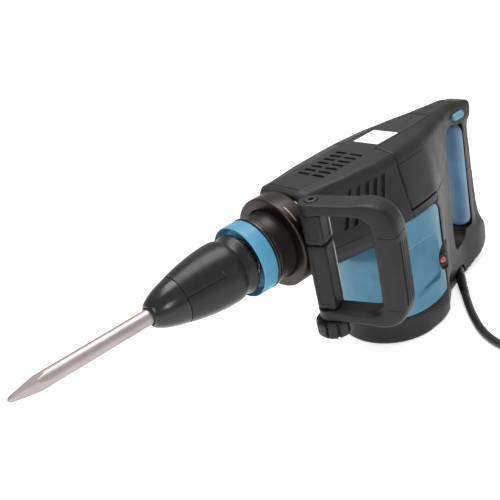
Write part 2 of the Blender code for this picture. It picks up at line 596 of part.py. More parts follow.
# ---------------------------------------------------------------- side handle
bt, by = GRIP_BOLT
ct, st = math.sin(GRIP_TURN), math.cos(GRIP_TURN)


def handle_point(s, n, z):
    """s: from the bolt outwards; n: across the handle, to the rear; z: up."""
    return (bt + s * ct + n * st, by - s * st + n * ct, z)


across = (world(*handle_point(0, 1, 0)) - world(*handle_point(0, 0, 0))).normalized()
grip_path = rounded([(0.0, 53.0), (86.0, 53.0), (86.0, -83.0), (0.0, -83.0)], [0, 27, 27, 0], steps=5)
grip_path = [(0.0, 53.0), (18, 53.0), (36, 53.0)] + grip_path[1:7] + [(86.0, 10.0), (86.0, -15.0), (86.0, -40.0)] + grip_path[7:13] + [(36, -83.0), (18, -83.0), (0.0, -83.0)]
arm = rounded([(-6.8, -15.5), (6.8, -15.5), (6.8, 15.5), (-6.8, 15.5)], 4.0, steps=2)
bar = rounded([(-15.5, -16.5), (15.5, -16.5), (15.5, 16.5), (-15.5, 16.5)], 11.0, steps=2)
cuts = []
for i in range(len(grip_path)):
    far = min(i, len(grip_path) - 1 - i)
    w = max(0.0, min(1.0, (far - 3) / 5.0))
    w = w * w * (3 - 2 * w)
    cuts.append([(a * (1 - w) + b * w, c * (1 - w) + d * w) for (a, c), (b, d) in zip(arm, bar)])
side_handle = swept("side_handle", [world(*handle_point(s, 0, z)) for s, z in grip_path], across, cuts, "black_plastic", closed=False, origin=(bt, by, 0))
eye_top = rod("handle_eye_top", 46.2, 59.8, 15.5, "black_plastic", axis="z", centre=(bt, by), steps=28)
eye_low = rod("handle_eye_low", -89.8, -76.2, 15.5, "black_plastic", axis="z", centre=(bt, by), steps=28)
add(side_handle, eye_top, eye_low)
cut(side_handle, rod("handle_bolt_way", -120, 90, 4.5, "black_plastic", axis="z", centre=(bt, by), steps=20))
cut(side_handle, rod("handle_head_well", 55.0, 90, 7.6, "black_plastic", axis="z", centre=(bt, by), steps=24))


def base_half(name, lo, hi):
    outline = rounded([(-12.3, -12.3), (12.3, -12.3), (12.3, 12.3), (-12.3, 12.3)], 5.5, steps=2)
    loops = [[world(*handle_point(s, n, z)) for s, n in outline] for z in (lo, hi)]
    bm = bmesh.new()
    rings(bm, loops)
    body = finish(name, bm, "black_plastic")
    cut(body, rod(name + "_way", lo - 5, hi + 5, 4.5, "black_plastic", axis="z", centre=(bt, by), steps=20))
    return body


base_upper = base_half("handle_base_upper", 8.4, 45.7)
base_lower = base_half("handle_base_lower", -75.7, 7.6)
band = tube("clamp_band", 185.6, 204.0, SEAT_R - 0.2, BAND_R, "band_steel", steps=36)
band_room = [rod(f"band_room_{n}", 183.0, 206.5, BAND_R + 0.5, "black_plastic", steps=36) for n in (1, 2)]
cut(base_upper, band_room[0])
cut(base_lower, band_room[1])
barrel_rooms = [rod(f"barrel_room_{n}", 150.0, 240.0, SEAT_R + 0.6, "black_plastic", steps=36) for n in (1, 2)]
cut(base_upper, barrel_rooms[0])
cut(base_lower, barrel_rooms[1])
handle_bolt = turned(
    "handle_bolt", [(-106.0, 0), (-106.0, 3.9), (55.4, 3.9), (55.4, 7.2), (60.4, 7.2), (61.2, 6.4), (61.2, 0)],
    "machined_steel", axis="z", centre=(bt, by), steps=20,
)
lobes, knob_loop = 9, []
for i in range(lobes * 6):
    a = 2 * math.pi * i / (lobes * 6)
    knob_loop.append(20.6 + 1.5 * (1 if (i % 6) in (1, 2, 3, 4) else -1))
bm = bmesh.new()
loops = []
for z, k in ((-90.4, 0.88), (-93.0, 1.0), (-110.0, 1.0), (-114.0, 0.86)):
    loops.append([world(bt + r * k * math.cos(2 * math.pi * i / len(knob_loop)), by + r * k * math.sin(2 * math.pi * i / len(knob_loop)), z) for i, r in enumerate(knob_loop)])
rings(bm, loops)
clamp_knob = finish("clamp_knob", bm, "black_plastic", origin=(bt, by, -100))
cut(clamp_knob, rod("knob_way", -107.0, -80.0, 4.3, "black_plastic", axis="z", centre=(bt, by), steps=20))

# ---------------------------------------------------------------- fasteners
for k, (y, z) in enumerate(((-30.8, 30.8), (30.8, 30.8), (30.8, -30.8), (-30.8, -30.8))):
    turned(f"barrel_bolt_{k + 1}", [(212.6, 0), (212.6, 4.4), (213.2, 4.9), (218.6, 4.9), (218.6, 3.0), (236.0, 3.0), (236.0, 0)],
           "machined_steel", centre=(y, z), steps=12)
    for n, casting in enumerate((barrel, casing)):
        cut(casting, rod(f"barrel_bolt_way_{k}_{n}", 200.0 if n else 216.0, 240.0, 3.4, "machined_steel", centre=(y, z), steps=12))
for name, t, z in (("handle_screw_1", 557.0, 36.0), ("handle_screw_2", 558.0, -172.0)):
    w = width_at(t, z) - 2.0
    turned(name, [(-9.0, 0), (-9.0, 2.0), (w - 3.5, 2.0), (w - 3.5, 4.2), (w - 0.6, 4.2), (w, 3.2), (w, 0)],
           "machined_steel", axis="y", centre=(t, z), steps=14)
    cut(rear_right, rod(name + "_head_way", w - 3.9, 60.0, 4.6, "machined_steel", axis="y", centre=(t, z), steps=14),
        rod(name + "_way", -1.0, w, 2.4, "machined_steel", axis="y", centre=(t, z), steps=14))
    cut(rear_left, rod(name + "_blind", -9.6, 1.0, 2.4, "machined_steel", axis="y", centre=(t, z), steps=14))

# ---------------------------------------------------------------- power cord
GUARD_PATH = [(500.0, -14.0, -189.8), (488.0, -26.0, -192.6), (476.0, -37.6, -195.2), (463.0, -49.4, -197.2), (449.0, -62.4, -198.4)]
CORD_ROUTE = [
    (449.0, -62.4, -198.4), (436.0, -74.6, -199.0), (420.0, -90.0, -199.15), (399.0, -113.0, -199.15), (380.0, -138.0, -199.15),
    (368.0, -168.0, -199.15), (367.0, -200.0, -199.15), (378.0, -234.0, -199.15), (402.0, -268.0, -199.15), (440.0, -296.0, -199.15), (486.0, -307.4, -199.15),
]
COIL = (500.0, -215.0)
COIL_IN, COIL_OUT, COIL_TALL = 40.0, 86.0, 35.0
PLUG_T = 593.0


def smooth_route(points, each):
    """A smooth curve through the points, one point about every `each` millimetres."""
    pts = [Vector(p) for p in points]
    ends = [2 * pts[0] - pts[1]] + pts + [2 * pts[-1] - pts[-2]]
    dense = []
    for i in range(1, len(ends) - 2):
        p0, p1, p2, p3 = ends[i - 1], ends[i], ends[i + 1], ends[i + 2]
        for k in range(24):
            w = k / 24.0
            dense.append(0.5 * ((2 * p1) + (p2 - p0) * w + (2 * p0 - 5 * p1 + 4 * p2 - p3) * w * w + (3 * p1 - p0 - 3 * p2 + p3) * w ** 3))
    dense.append(pts[-1])
    out, run = [dense[0]], 0.0
    for a, b in zip(dense, dense[1:]):
        run += (b - a).length
        if run >= each:
            out.append(b)
            run = 0.0
    if (out[-1] - dense[-1]).length > 3:
        out.append(dense[-1])
    else:
        out[-1] = dense[-1]
    return out


def tube_along(name, points, radius, mat, resolution=2):
    curve = bpy.data.curves.new(name, "CURVE")
    curve.dimensions = "3D"
    curve.bevel_depth, curve.bevel_resolution, curve.use_fill_caps = radius / 1000.0, resolution, True
    spline = curve.splines.new("POLY")
    spline.points.add(len(points) - 1)
    for point, p in zip(spline.points, points):
        point.co = (*world(*p), 1.0)
    obj = bpy.data.objects.new(name, curve)
    curve.materials.append(materials[mat])
    scene_collection.objects.link(obj)
    return obj


route = smooth_route(CORD_ROUTE, 12.0)
tube_along("cord", [tuple(p) for p in route], CORD_R, "black_rubber")
guard_route = smooth_route(GUARD_PATH, 6.0)
guard_end = (guard_route[-1] - guard_route[-2]).normalized()
guard_route[-1] = guard_route[-1] - guard_end * GAP
bm = bmesh.new()
loops, total = [], len(guard_route) - 1
for i, p in enumerate(guard_route):
    along = (guard_route[min(i + 1, total)] - guard_route[max(i - 1, 0)]).normalized()
    side = along.cross(Vector((0, 0, 1))).normalized()
    up = side.cross(along)
    r = 7.8 - 1.5 * i / total
    loops.append([world(*(p + side * (r * math.cos(a)) + up * (r * math.sin(a)))) for a in [2 * math.pi * k / 16 for k in range(16)]])
rings(bm, loops)
cord_guard = finish("cord_guard", bm, "black_rubber")
way_a, way_b = Vector((506.0, -8.0, -188.4)), Vector((466.0, -47.5, -197.6))
along = (way_b - way_a).normalized()
side = along.cross(Vector((0, 0, 1))).normalized()
up = side.cross(along)
bm = bmesh.new()
rings(bm, [[world(*(q + side * (10.0 * math.cos(a)) + up * (10.0 * math.sin(a)))) for a in [2 * math.pi * k / 20 for k in range(20)]] for q in (way_a, way_b)])
cut(rear_left, finish("guard_way", bm, "black_rubber"))

coil_profile = []
mid_r, half_w, half_h = (COIL_IN + COIL_OUT) / 2, (COIL_OUT - COIL_IN) / 2, COIL_TALL / 2
for k in range(10):
    a = 2 * math.pi * (k + 0.5) / 10
    c, s_ = math.cos(a), math.sin(a)
    k_ = max(abs(c), abs(s_))
    flat = 0.62
    coil_profile.append((FOOT_Z + 0.2 + half_h + half_h * s_ * (flat / k_ + 1 - flat), mid_r + half_w * c * (flat / k_ + 1 - flat)))
low = min(z for z, _ in coil_profile)
coil_profile = [(z - low + FOOT_Z + 0.1, r) for z, r in reversed(coil_profile)]
turned("cord_coil", coil_profile, "black_rubber", axis="z", centre=COIL, steps=28)

plug_sections = []
for y, hw, hh in ((-206.0, 6.0, 6.0), (-184.0, 7.6, 7.6), (-180.0, 11.0, 9.0), (-172.0, 15.0, 11.0), (-150.0, 17.8, 11.6), (-140.0, 18.4, 11.8), (-137.0, 18.0, 11.4)):
    centre_z = -193.0
    plug_sections.append([(PLUG_T + hw * math.copysign(abs(math.cos(a)) ** 0.7, math.cos(a)), y, centre_z + hh * math.copysign(abs(math.sin(a)) ** 0.7, math.sin(a)))
                          for a in [2 * math.pi * (k + 0.5) / 16 for k in range(16)]])
plug = lofted("plug_body", plug_sections, "black_rubber")
for name, dt in (("plug_pin_left", -9.5), ("plug_pin_right", 9.5)):
    cut(plug, rod(name + "_way", -142.0, -130.0, 2.8, "machined_steel", axis="y", centre=(PLUG_T + dt, -193.0), steps=12))
    rod(name, -141.0, -118.0, 2.4, "copper_brass", axis="y", centre=(PLUG_T + dt, -193.0), steps=12, chamfer=0.8)
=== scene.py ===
"""Looks of the electric demolition hammer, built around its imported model.

Lengths are in millimetres along the hammer axis (t, from the mouth of the tool holder
to the rear), across it (y) and up from it (z); W() turns them into metres in the
part's frame.
"""

import json
import math

import bmesh
import bpy
import numpy as np
from mathutils import Matrix, Vector

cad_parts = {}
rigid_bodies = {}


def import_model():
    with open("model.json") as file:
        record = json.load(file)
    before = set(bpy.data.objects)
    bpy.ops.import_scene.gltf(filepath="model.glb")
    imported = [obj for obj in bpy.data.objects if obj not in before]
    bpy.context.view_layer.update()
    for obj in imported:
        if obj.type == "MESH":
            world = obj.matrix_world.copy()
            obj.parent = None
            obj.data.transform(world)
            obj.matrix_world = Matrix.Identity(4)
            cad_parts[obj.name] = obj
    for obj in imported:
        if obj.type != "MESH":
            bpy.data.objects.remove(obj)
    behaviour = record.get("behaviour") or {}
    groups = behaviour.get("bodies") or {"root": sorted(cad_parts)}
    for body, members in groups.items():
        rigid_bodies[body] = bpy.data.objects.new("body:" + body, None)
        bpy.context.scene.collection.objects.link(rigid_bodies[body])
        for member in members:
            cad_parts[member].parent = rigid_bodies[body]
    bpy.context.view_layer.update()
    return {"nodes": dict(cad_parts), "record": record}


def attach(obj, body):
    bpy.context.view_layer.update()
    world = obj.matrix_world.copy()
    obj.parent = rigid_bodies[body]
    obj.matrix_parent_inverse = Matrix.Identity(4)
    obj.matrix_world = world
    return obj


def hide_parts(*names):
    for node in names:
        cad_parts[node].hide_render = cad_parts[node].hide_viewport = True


for item in list(bpy.data.objects):
    bpy.data.objects.remove(item, do_unlink=True)

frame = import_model()
scene = bpy.context.scene
nodes = frame["nodes"]

# ---------------------------------------------------------------- sizes, as in the CAD source
MOTOR_T, AXIS_H = 361.0, 205.0
BARREL_R, SEAT_R, BAND_R, MOTOR_R = 43.0, 50.0, 57.0, 73.0
SHROUD_T, CAP_TOP, FOOT_Z, CORD_R, GAP = 410.0, -168.0, -205.0, 5.75, 0.35
BOLT_T, BOLT_Y = 197.0, -64.0
TURN = math.radians(18.6)


def W(t, y, z):
    return Vector(((t - MOTOR_T) / 1000.0, y / 1000.0, (z + AXIS_H) / 1000.0))


# ---------------------------------------------------------------- camera, as the photograph's
def set_camera():
    data = bpy.data.cameras.new("camera")
    data.lens, data.sensor_width = 54.0, 36.0
    data.clip_start, data.clip_end = 0.02, 60.0
    cam = bpy.data.objects.new("camera", data)
    scene.collection.objects.link(cam)
    back = Vector((-0.523, -0.7375, 0.428)).normalized()
    right = Vector((0.734, -0.645, -0.215))
    right = (right - back * right.dot(back)).normalized()
    up = back.cross(right)
    cam.matrix_world = Matrix((
        (right.x, up.x, back.x, -0.66788),
        (right.y, up.y, back.y, -0.63965),
        (right.z, up.z, back.z, 0.58348),
        (0, 0, 0, 1),
    ))
    scene.camera = cam


set_camera()


# ---------------------------------------------------------------- mesh helpers
def make(name, bm, angle=34):
    bmesh.ops.remove_doubles(bm, verts=bm.verts, dist=1e-6)
    bmesh.ops.recalc_face_normals(bm, faces=bm.faces)
    mesh = bpy.data.meshes.new(name)
    bm.to_mesh(mesh)
    bm.free()
    mesh.shade_smooth()
    mesh.set_sharp_from_angle(angle=math.radians(angle))
    obj = bpy.data.objects.new(name, mesh)
    scene.collection.objects.link(obj)
    return obj


def rings(bm, loops, caps=True, closed=False):
    made = [[bm.verts.new(p) for p in loop] for loop in loops]
    pairs = list(zip(made, made[1:]))
    if closed:
        pairs.append((made[-1], made[0]))
    for first, second in pairs:
        n = max(len(first), len(second))
        for i in range(n):
            j = (i + 1) % n
            if len(first) == 1:
                bm.faces.new((first[0], second[i], second[j]))
            elif len(second) == 1:
                bm.faces.new((first[i], first[j], second[0]))
            else:
                bm.faces.new((first[i], first[j], second[j], second[i]))
    if caps and not closed:
        for loop in (made[0], made[-1]):
            if len(loop) > 2:
                bm.faces.new(loop)


def fillet(points, radius, steps=4, closed=False):
    """Each corner of a line of points rounded; radius is one number or one per point."""
    pts = [Vector(p) for p in points]
    n, out = len(pts), []
    for i, p in enumerate(pts):
        r = radius[i] if isinstance(radius, (list, tuple)) else radius
        if (not closed and i in (0, n - 1)) or r <= 0:
            out.append(tuple(p))
            continue
        a, b = pts[i - 1], pts[(i + 1) % n]
        u, v = a - p, b - p
        reach = min(r, 0.46 * u.length, 0.46 * v.length)
        start, end = p + u.normalized() * reach, p + v.normalized() * reach
        for k in range(steps + 1):
            w = k / steps
            out.append(tuple(start.lerp(p, w).lerp(p.lerp(end, w), w)))
    return out


def turned(name, profile, soft=0.8, axis="t", centre=(0.0, 0.0), steps=144, bulge=None, angles=None, corner=3, angle=34):
    """A turned piece; profile is (along, radius). bulge(along, angle, radius) gives the
    radius where the piece isn't round."""
    solid = profile[0][1] == 0 and profile[-1][1] == 0
    line = fillet(profile, soft, corner, closed=not solid) if soft else profile
    turns = angles if angles is not None else [2 * math.pi * i / steps for i in range(steps)]

    def point(a, r, ang):
        if bulge is not None:
            r = bulge(a, ang, r)
        c, s = r * math.cos(ang), r * math.sin(ang)
        if axis == "t":
            return W(a, centre[0] - s, centre[1] + c)
        if axis == "z":
            return W(centre[0] + c, centre[1] + s, a)
        return W(centre[0] + c, a, centre[1] + s)

    bm = bmesh.new()
    loops = [[point(a, 0, 0)] if r <= 1e-9 else [point(a, r, ang) for ang in turns] for a, r in line]
    rings(bm, loops, caps=False, closed=not solid)
    return make(name, bm, angle)


def rod(name, lo, hi, radius, axis="t", centre=(0.0, 0.0), steps=48):
    return turned(name, [(lo, 0), (lo, radius), (hi, radius), (hi, 0)], 0, axis, centre, steps)


def lofted(name, sections, angle=34):
    bm = bmesh.new()
    rings(bm, [[W(*p) for p in loop] for loop in sections])
    return make(name, bm, angle)


def prism(name, outline, lo, hi, axis="y", angle=34):
    def point(a, b, w):
        return {"y": W(a, w, b), "z": W(a, b, w), "t": W(w, a, b)}[axis]

    bm = bmesh.new()
    rings(bm, [[point(a, b, lo) for a, b in outline], [point(a, b, hi) for a, b in outline]])
    return make(name, bm, angle)


def block(name, lo, hi):
    return prism(name, [(lo[0], lo[1]), (hi[0], lo[1]), (hi[0], hi[1]), (lo[0], hi[1])], lo[2], hi[2], axis="z")


def settle(obj, angle=34):
    """Applies the modifiers of obj."""
    graph = bpy.context.evaluated_depsgraph_get()
    mesh = bpy.data.meshes.new_from_object(obj.evaluated_get(graph))
    obj.modifiers.clear()
    obj.data = mesh
    mesh.shade_smooth()
    mesh.set_sharp_from_angle(angle=math.radians(angle))
    return obj


def combine(target, tools, operation, angle=34):
    for tool in tools:
        mod = target.modifiers.new("cut", "BOOLEAN")
        mod.operation, mod.solver, mod.object = operation, "EXACT", tool
    bpy.context.view_layer.update()
    settle(target, angle)
    for tool in tools:
        bpy.data.objects.remove(tool, do_unlink=True)
    return target


def cut(target, *tools, angle=34):
    return combine(target, tools, "DIFFERENCE", angle)


def add(target, *tools, angle=34):
    return combine(target, tools, "UNION", angle)


def keep(target, *tools, angle=34):
    return combine(target, tools, "INTERSECT", angle)


def group(name, objs):
    """Several separate shapes as one mesh, for one cut."""
    bm = bmesh.new()
    for obj in objs:
        bm.from_mesh(obj.data)
        bpy.data.objects.remove(obj, do_unlink=True)
    mesh = bpy.data.meshes.new(name)
    bm.to_mesh(mesh)
    bm.free()
    out = bpy.data.objects.new(name, mesh)
    scene.collection.objects.link(out)
    return out


def moulded(obj, voxel=1.5, rounds=5, factor=0.5, angle=60):
    """Every edge of a shape rounded, as a moulding or casting has them."""
    mod = obj.modifiers.new("remesh", "REMESH")
    mod.mode, mod.voxel_size, mod.adaptivity = "VOXEL", voxel / 1000.0, 0.0
    if rounds:
        mod = obj.modifiers.new("soft", "SMOOTH")
        mod.factor, mod.iterations = factor, rounds
    bpy.context.view_layer.update()
    return settle(obj, angle)


def pchip(xs, ys, x):
    """Smooth values through ys at xs, with no overshoot."""
    xs, ys = np.asarray(xs, float), np.asarray(ys, float)
    x = min(max(x, xs[0]), xs[-1])
    h = np.diff(xs)
    d = np.diff(ys, axis=0) / h[:, None] if ys.ndim > 1 else np.diff(ys) / h
    m = np.zeros_like(ys)
    m[0], m[-1] = d[0], d[-1]
    for i in range(1, len(xs) - 1):
        same = (d[i - 1] * d[i]) > 0
        with np.errstate(divide="ignore", invalid="ignore"):
            w1, w2 = 2 * h[i] + h[i - 1], h[i] + 2 * h[i - 1]
            mean = (w1 + w2) / (w1 / d[i - 1] + w2 / d[i])
        m[i] = np.where(same, mean, 0.0)
    i = int(min(np.searchsorted(xs, x, side="right") - 1, len(xs) - 2))
    s = (x - xs[i]) / h[i]
    return (
        (1 + 2 * s) * (1 - s) ** 2 * ys[i] + s * (1 - s) ** 2 * h[i] * m[i]
        + s * s * (3 - 2 * s) * ys[i + 1] + s * s * (s - 1) * h[i] * m[i + 1]
    )


def smooth_step(w):
    w = min(max(w, 0.0), 1.0)
    return w * w * (3 - 2 * w)


# ---------------------------------------------------------------- materials
class Paint:
    """A node material under construction. Positions are in metres, in the part's frame."""

    def __init__(self, name, colour, rough, metal=0.0):
        self.mat = bpy.data.materials.new(name)
        self.mat.use_nodes = True
        self.tree = self.mat.node_tree
        self.shader = self.tree.nodes["Principled BSDF"]
        self.colour, self.rough = colour, rough
        self.shader.inputs["Base Color"].default_value = (*colour, 1)
        self.shader.inputs["Roughness"].default_value = rough
        self.shader.inputs["Metallic"].default_value = metal
        self.place = self.node("ShaderNodeTexCoord").outputs["Object"]
        self.mat.diffuse_color = (*colour, 1)

    def node(self, kind, **values):
        made = self.tree.nodes.new(kind)
        for key, value in values.items():
            setattr(made, key, value)
        return made

    def link(self, a, b):
        self.tree.links.new(a, b)

    def stretch(self, scale):
        made = self.node("ShaderNodeMapping")
        made.inputs["Scale"].default_value = scale
        self.link(self.place, made.inputs["Vector"])
        return made.outputs["Vector"]

    def noise(self, scale, detail=2.0, rough=0.5, where=None):
        made = self.node("ShaderNodeTexNoise")
        made.inputs["Scale"].default_value = scale
        made.inputs["Detail"].default_value = detail
        made.inputs["Roughness"].default_value = rough
        self.link(where or self.place, made.inputs["Vector"])
        return made.outputs["Fac"]

    def ranged(self, value, lo, hi, a, b):
        made = self.node("ShaderNodeMapRange")
        made.inputs["From Min"].default_value, made.inputs["From Max"].default_value = lo, hi
        made.inputs["To Min"].default_value, made.inputs["To Max"].default_value = a, b
        self.link(value, made.inputs["Value"])
        return made.outputs["Result"]

    def mixed(self, factor, a, b):
        made = self.node("ShaderNodeMix", data_type="RGBA")
        for socket, value in ((made.inputs[6], a), (made.inputs[7], b)):
            if isinstance(value, tuple):
                socket.default_value = (*value, 1)
            else:
                self.link(value, socket)
        self.link(factor, made.inputs[0])
        return made.outputs[2]

    def bump(self, height, strength, distance, after=None):
        made = self.node("ShaderNodeBump")
        made.inputs["Strength"].default_value = strength
        made.inputs["Distance"].default_value = distance
        self.link(height, made.inputs["Height"])
        if after is not None:
            self.link(after, made.inputs["Normal"])
        return made.outputs["Normal"]

    def soft_edges(self, radius):
        made = self.node("ShaderNodeBevel", samples=4)
        made.inputs["Radius"].default_value = radius
        return made.outputs["Normal"]

    def use(self, socket, value):
        self.link(value, self.shader.inputs[socket])


def moulding(name, colour, rough, grain=0.5, size=1500.0, edge=0.0007, coat=0.0, wear=0.35, level=0.5):
    """Moulded plastic: fine spark-eroded grain, slow changes of tone, edges rubbed brighter."""
    p = Paint(name, colour, rough)
    p.shader.inputs["Specular IOR Level"].default_value = level
    if coat:
        p.shader.inputs["Coat Weight"].default_value = coat
        p.shader.inputs["Coat Roughness"].default_value = 0.18
    slow = p.noise(22.0, 3.0, 0.6)
    darker = tuple(c * 0.86 for c in colour)
    lighter = tuple(min(1.0, c * 1.16) for c in colour)
    tone = p.mixed(p.ranged(slow, 0.35, 0.65, 0.0, 1.0), darker, lighter)
    point = p.node("ShaderNodeNewGeometry").outputs["Pointiness"]
    rubbed = p.ranged(point, 0.515, 0.60, 0.0, wear)
    patches = p.ranged(p.noise(90.0, 2.0, 0.7), 0.4, 0.7, 0.2, 1.0)
    both = p.node("ShaderNodeMath", operation="MULTIPLY")
    p.link(rubbed, both.inputs[0])
    p.link(patches, both.inputs[1])
    worn = tuple(min(1.0, c * 1.9 + 0.02) for c in colour)
    p.use("Base Color", p.mixed(both.outputs[0], tone, worn))
    fine = p.noise(size, 2.0, 0.55)
    p.use("Roughness", p.ranged(p.noise(60.0, 3.0, 0.6), 0.3, 0.7, rough * 0.88, min(1.0, rough * 1.14)))
    normal = p.soft_edges(edge) if edge else None
    p.use("Normal", p.bump(fine, grain, 0.00012, normal))
    return p.mat


def steel(name, colour, rough, along=(1.0, 40.0, 40.0), size=260.0, strokes=0.25, edge=0.0004, tint=None):
    """Ground or brushed metal, its strokes running along the first axis of `along`."""
    p = Paint(name, colour, rough, 1.0)
    lines = p.noise(size, 4.0, 0.7, p.stretch(along))
    slow = p.noise(35.0, 3.0, 0.6)
    other = tint or tuple(c * 0.82 for c in colour)
    tone = p.mixed(p.ranged(slow, 0.35, 0.68, 0.0, 1.0), colour, other)
    p.use("Base Color", p.mixed(p.ranged(lines, 0.42, 0.62, 0.0, 0.5), tone, tuple(min(1.0, c * 1.12) for c in colour)))
    p.use("Roughness", p.ranged(lines, 0.3, 0.7, rough * 0.8, min(1.0, rough * 1.25)))
    p.use("Normal", p.bump(lines, strokes, 0.00006, p.soft_edges(edge) if edge else None))
    return p.mat


def lens_red(name):
    p = Paint(name, (0.62, 0.02, 0.03), 0.16)
    p.shader.inputs["Transmission Weight"].default_value = 0.25
    p.shader.inputs["Coat Weight"].default_value = 0.8
    rays = p.noise(500.0, 1.0, 0.5)
    p.use("Base Color", p.mixed(p.ranged(rays, 0.35, 0.65, 0.0, 1.0), (0.50, 0.012, 0.02), (0.78, 0.05, 0.06)))
    p.use("Normal", p.bump(rays, 0.2, 0.0002))
    return p.mat


def board(name):
    p = Paint(name, (0.05, 0.22, 0.10), 0.35)
    cells = p.node("ShaderNodeTexVoronoi")
    cells.inputs["Scale"].default_value = 220.0
    p.link(p.place, cells.inputs["Vector"])
    p.use("Base Color", p.mixed(p.ranged(cells.outputs["Distance"], 0.2, 0.5, 0.0, 1.0), (0.03, 0.15, 0.07), (0.06, 0.26, 0.12)))
    p.use("Roughness", p.ranged(p.noise(80.0), 0.3, 0.7, 0.25, 0.5))
    return p.mat


def paper(name):
    p = Paint(name, (0.86, 0.86, 0.85), 0.5)
    p.use("Base Color", p.mixed(p.ranged(p.noise(300.0, 3.0), 0.35, 0.65, 0.0, 1.0), (0.80, 0.80, 0.79), (0.90, 0.90, 0.89)))
    p.use("Roughness", p.ranged(p.noise(120.0), 0.3, 0.7, 0.4, 0.6))
    p.use("Normal", p.bump(p.noise(900.0), 0.1, 0.00005))
    return p.mat


BLACK = moulding("black_moulding", (0.0125, 0.0121, 0.0121), 0.40, grain=0.45, level=0.21)
SHELL = moulding("black_shell", (0.0155, 0.0149, 0.0149), 0.42, grain=0.55, size=1300.0, level=0.23)
GRIP = moulding("black_grip", (0.0125, 0.0118, 0.0115), 0.44, grain=0.9, size=1100.0, edge=0.0, level=0.26)
CASTING = moulding("painted_casting", (0.0105, 0.0090, 0.0085), 0.32, grain=0.45, size=900.0, level=0.28)
SLEEVE = moulding("sleeve_plastic", (0.0105, 0.0102, 0.0100), 0.30, grain=0.30, size=1500.0, edge=0.0004, level=0.26)
RUBBER = moulding("black_rubber", (0.0085, 0.0085, 0.0088), 0.24, grain=0.12, size=700.0, edge=0.0004, coat=0.2, level=0.28)
CORD_SKIN = moulding("cord_rubber", (0.015, 0.0145, 0.0145), 0.38, grain=0.35, size=1400.0, edge=0.0)
BLUE = moulding("blue_moulding", (0.068, 0.200, 0.298), 0.38, grain=0.35, size=1300.0, wear=0.2, level=0.33)
BLUE_RING = moulding("blue_ring", (0.070, 0.255, 0.395), 0.42, grain=0.30, size=1300.0, wear=0.25, edge=0.0005, level=0.35)
BLUE_SOFT = moulding("blue_soft_grip", (0.125, 0.235, 0.365), 0.48, grain=0.6, size=1000.0, wear=0.1, edge=0.0)
BLUE_LEVER = moulding("blue_lever", (0.12, 0.27, 0.37), 0.44, grain=0.3, size=1000.0, wear=0.1, level=0.35)
CHISEL = steel("chisel_steel", (0.37, 0.325, 0.315), 0.46, tint=(0.31, 0.268, 0.258), strokes=0.35)
MACHINED = steel("machined_steel", (0.58, 0.58, 0.59), 0.28)
BAND = steel("band_steel", (0.046, 0.036, 0.033), 0.36, along=(40.0, 1.0, 1.0), strokes=0.2)
# painted highlight: a light steel for the strips that stand in for highlights on the band's edges and the posts' rear
# corners
HIGHLIGHT_STEEL = steel("painted_highlight_steel", (0.46, 0.42, 0.40), 0.34)
OXIDE = steel("black_oxide_steel", (0.075, 0.072, 0.072), 0.38, strokes=0.2)
ALUMINIUM = steel("bare_aluminium", (0.62, 0.62, 0.64), 0.32)
BRASS = steel("brass_parts", (0.78, 0.52, 0.25), 0.30)
CARBON = moulding("carbon", (0.04, 0.04, 0.04), 0.65, grain=0.8, size=900.0)
RED = lens_red("red_lens")
BOARD = board("circuit_green")
PAPER = paper("blank_label")

BODY_OF = {n: b for b, members in frame["record"]["behaviour"]["bodies"].items() for n in members}


def fit(obj, material, *stands_for, body=None, slot=None):
    """Gives a piece its material, and puts it in the place of the CAD nodes named."""
    obj.data.materials.clear()
    obj.data.materials.append(material)
    if stands_for:
        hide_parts(*stands_for)
    first = stands_for[0] if stands_for else None
    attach(obj, body or BODY_OF[first])
    return obj


# ---------------------------------------------------------------- chisel
def chisel_piece():
    """A round shank drawn down to a four-sided point with a blunt tip."""
    sides, length = 96, 46.0
    tip = -167.0
    stations = [tip, tip + 0.8, tip + 2.0, tip + 3.5] + [tip + 3.5 + (length - 3.5) * k / 30 for k in range(1, 31)] + [-112, -90, -60, -30, 0, 30, 60, 90, 108, 111.2, 112.4, 113.0]
    loops = []
    for t in stations:
        flat = 2.3 + (9.6 - 2.3) * ((t - tip) / length) ** 0.92
        loop = []
        for i in range(sides):
            a = 2 * math.pi * i / sides
            r = 9.0
            if t < tip + length + 1:
                # distance to the nearest of four flats, with rounded corners between them
                b = (a - math.radians(8) + math.pi / 4) % (math.pi / 2) - math.pi / 4
                square = flat / max(math.cos(b), 1e-6)
                square = min(square, flat * 1.20)
                r = min(9.0, square)
            if t < tip + 3.6:
                r *= (1 - max(0.0, 1 - (t - tip) / 3.6) ** 2.2) ** 0.5 if t > tip else 0.12
                r = max(r, 0.35)
            if t > 111:
                r = 9.0 - (t - 111.0) * 1.0
            loop.append(W(t, -r * math.sin(a), r * math.cos(a)))
        loops.append(loop)
    bm = bmesh.new()
    rings(bm, loops)
    obj = make("chisel_bull_point", bm, 24)
    slots = []
    for side in (-1, 1):
        slots.append(prism(f"chisel_slot_{side}", fillet([(50, -4.2), (102, -4.2), (102, 4.2), (50, 4.2)], 3.6, 5, True), side * 6.4, side * 12.0))
    return cut(obj, *slots, angle=24)


fit(chisel_piece(), CHISEL, "chisel")


# ---------------------------------------------------------------- tool holder: nose, sleeve, ring
def nose_piece():
    outer = [(-1.0, 12.0), (0.4, 14.2), (6, 18.0), (13, 21.3), (22, 24.5), (31, 27.0), (35.2, 28.0)]
    xs, rs = [p[0] for p in outer], [p[1] for p in outer]
    line = [(-1.0 + 36.2 * k / 44, float(pchip(xs, rs, -1.0 + 36.2 * k / 44))) for k in range(45)]
    profile = [(35.2, 17.0), (22, 17.0), (22, 13.4), (10, 10.3), (1.5, 10.0), (-0.9, 10.6)] + line
    profile = [p for i, p in enumerate(profile)]
    return turned("nose_cap_fine", profile, 0.5, steps=160, corner=2)


fit(nose_piece(), RUBBER, "nose_cap")


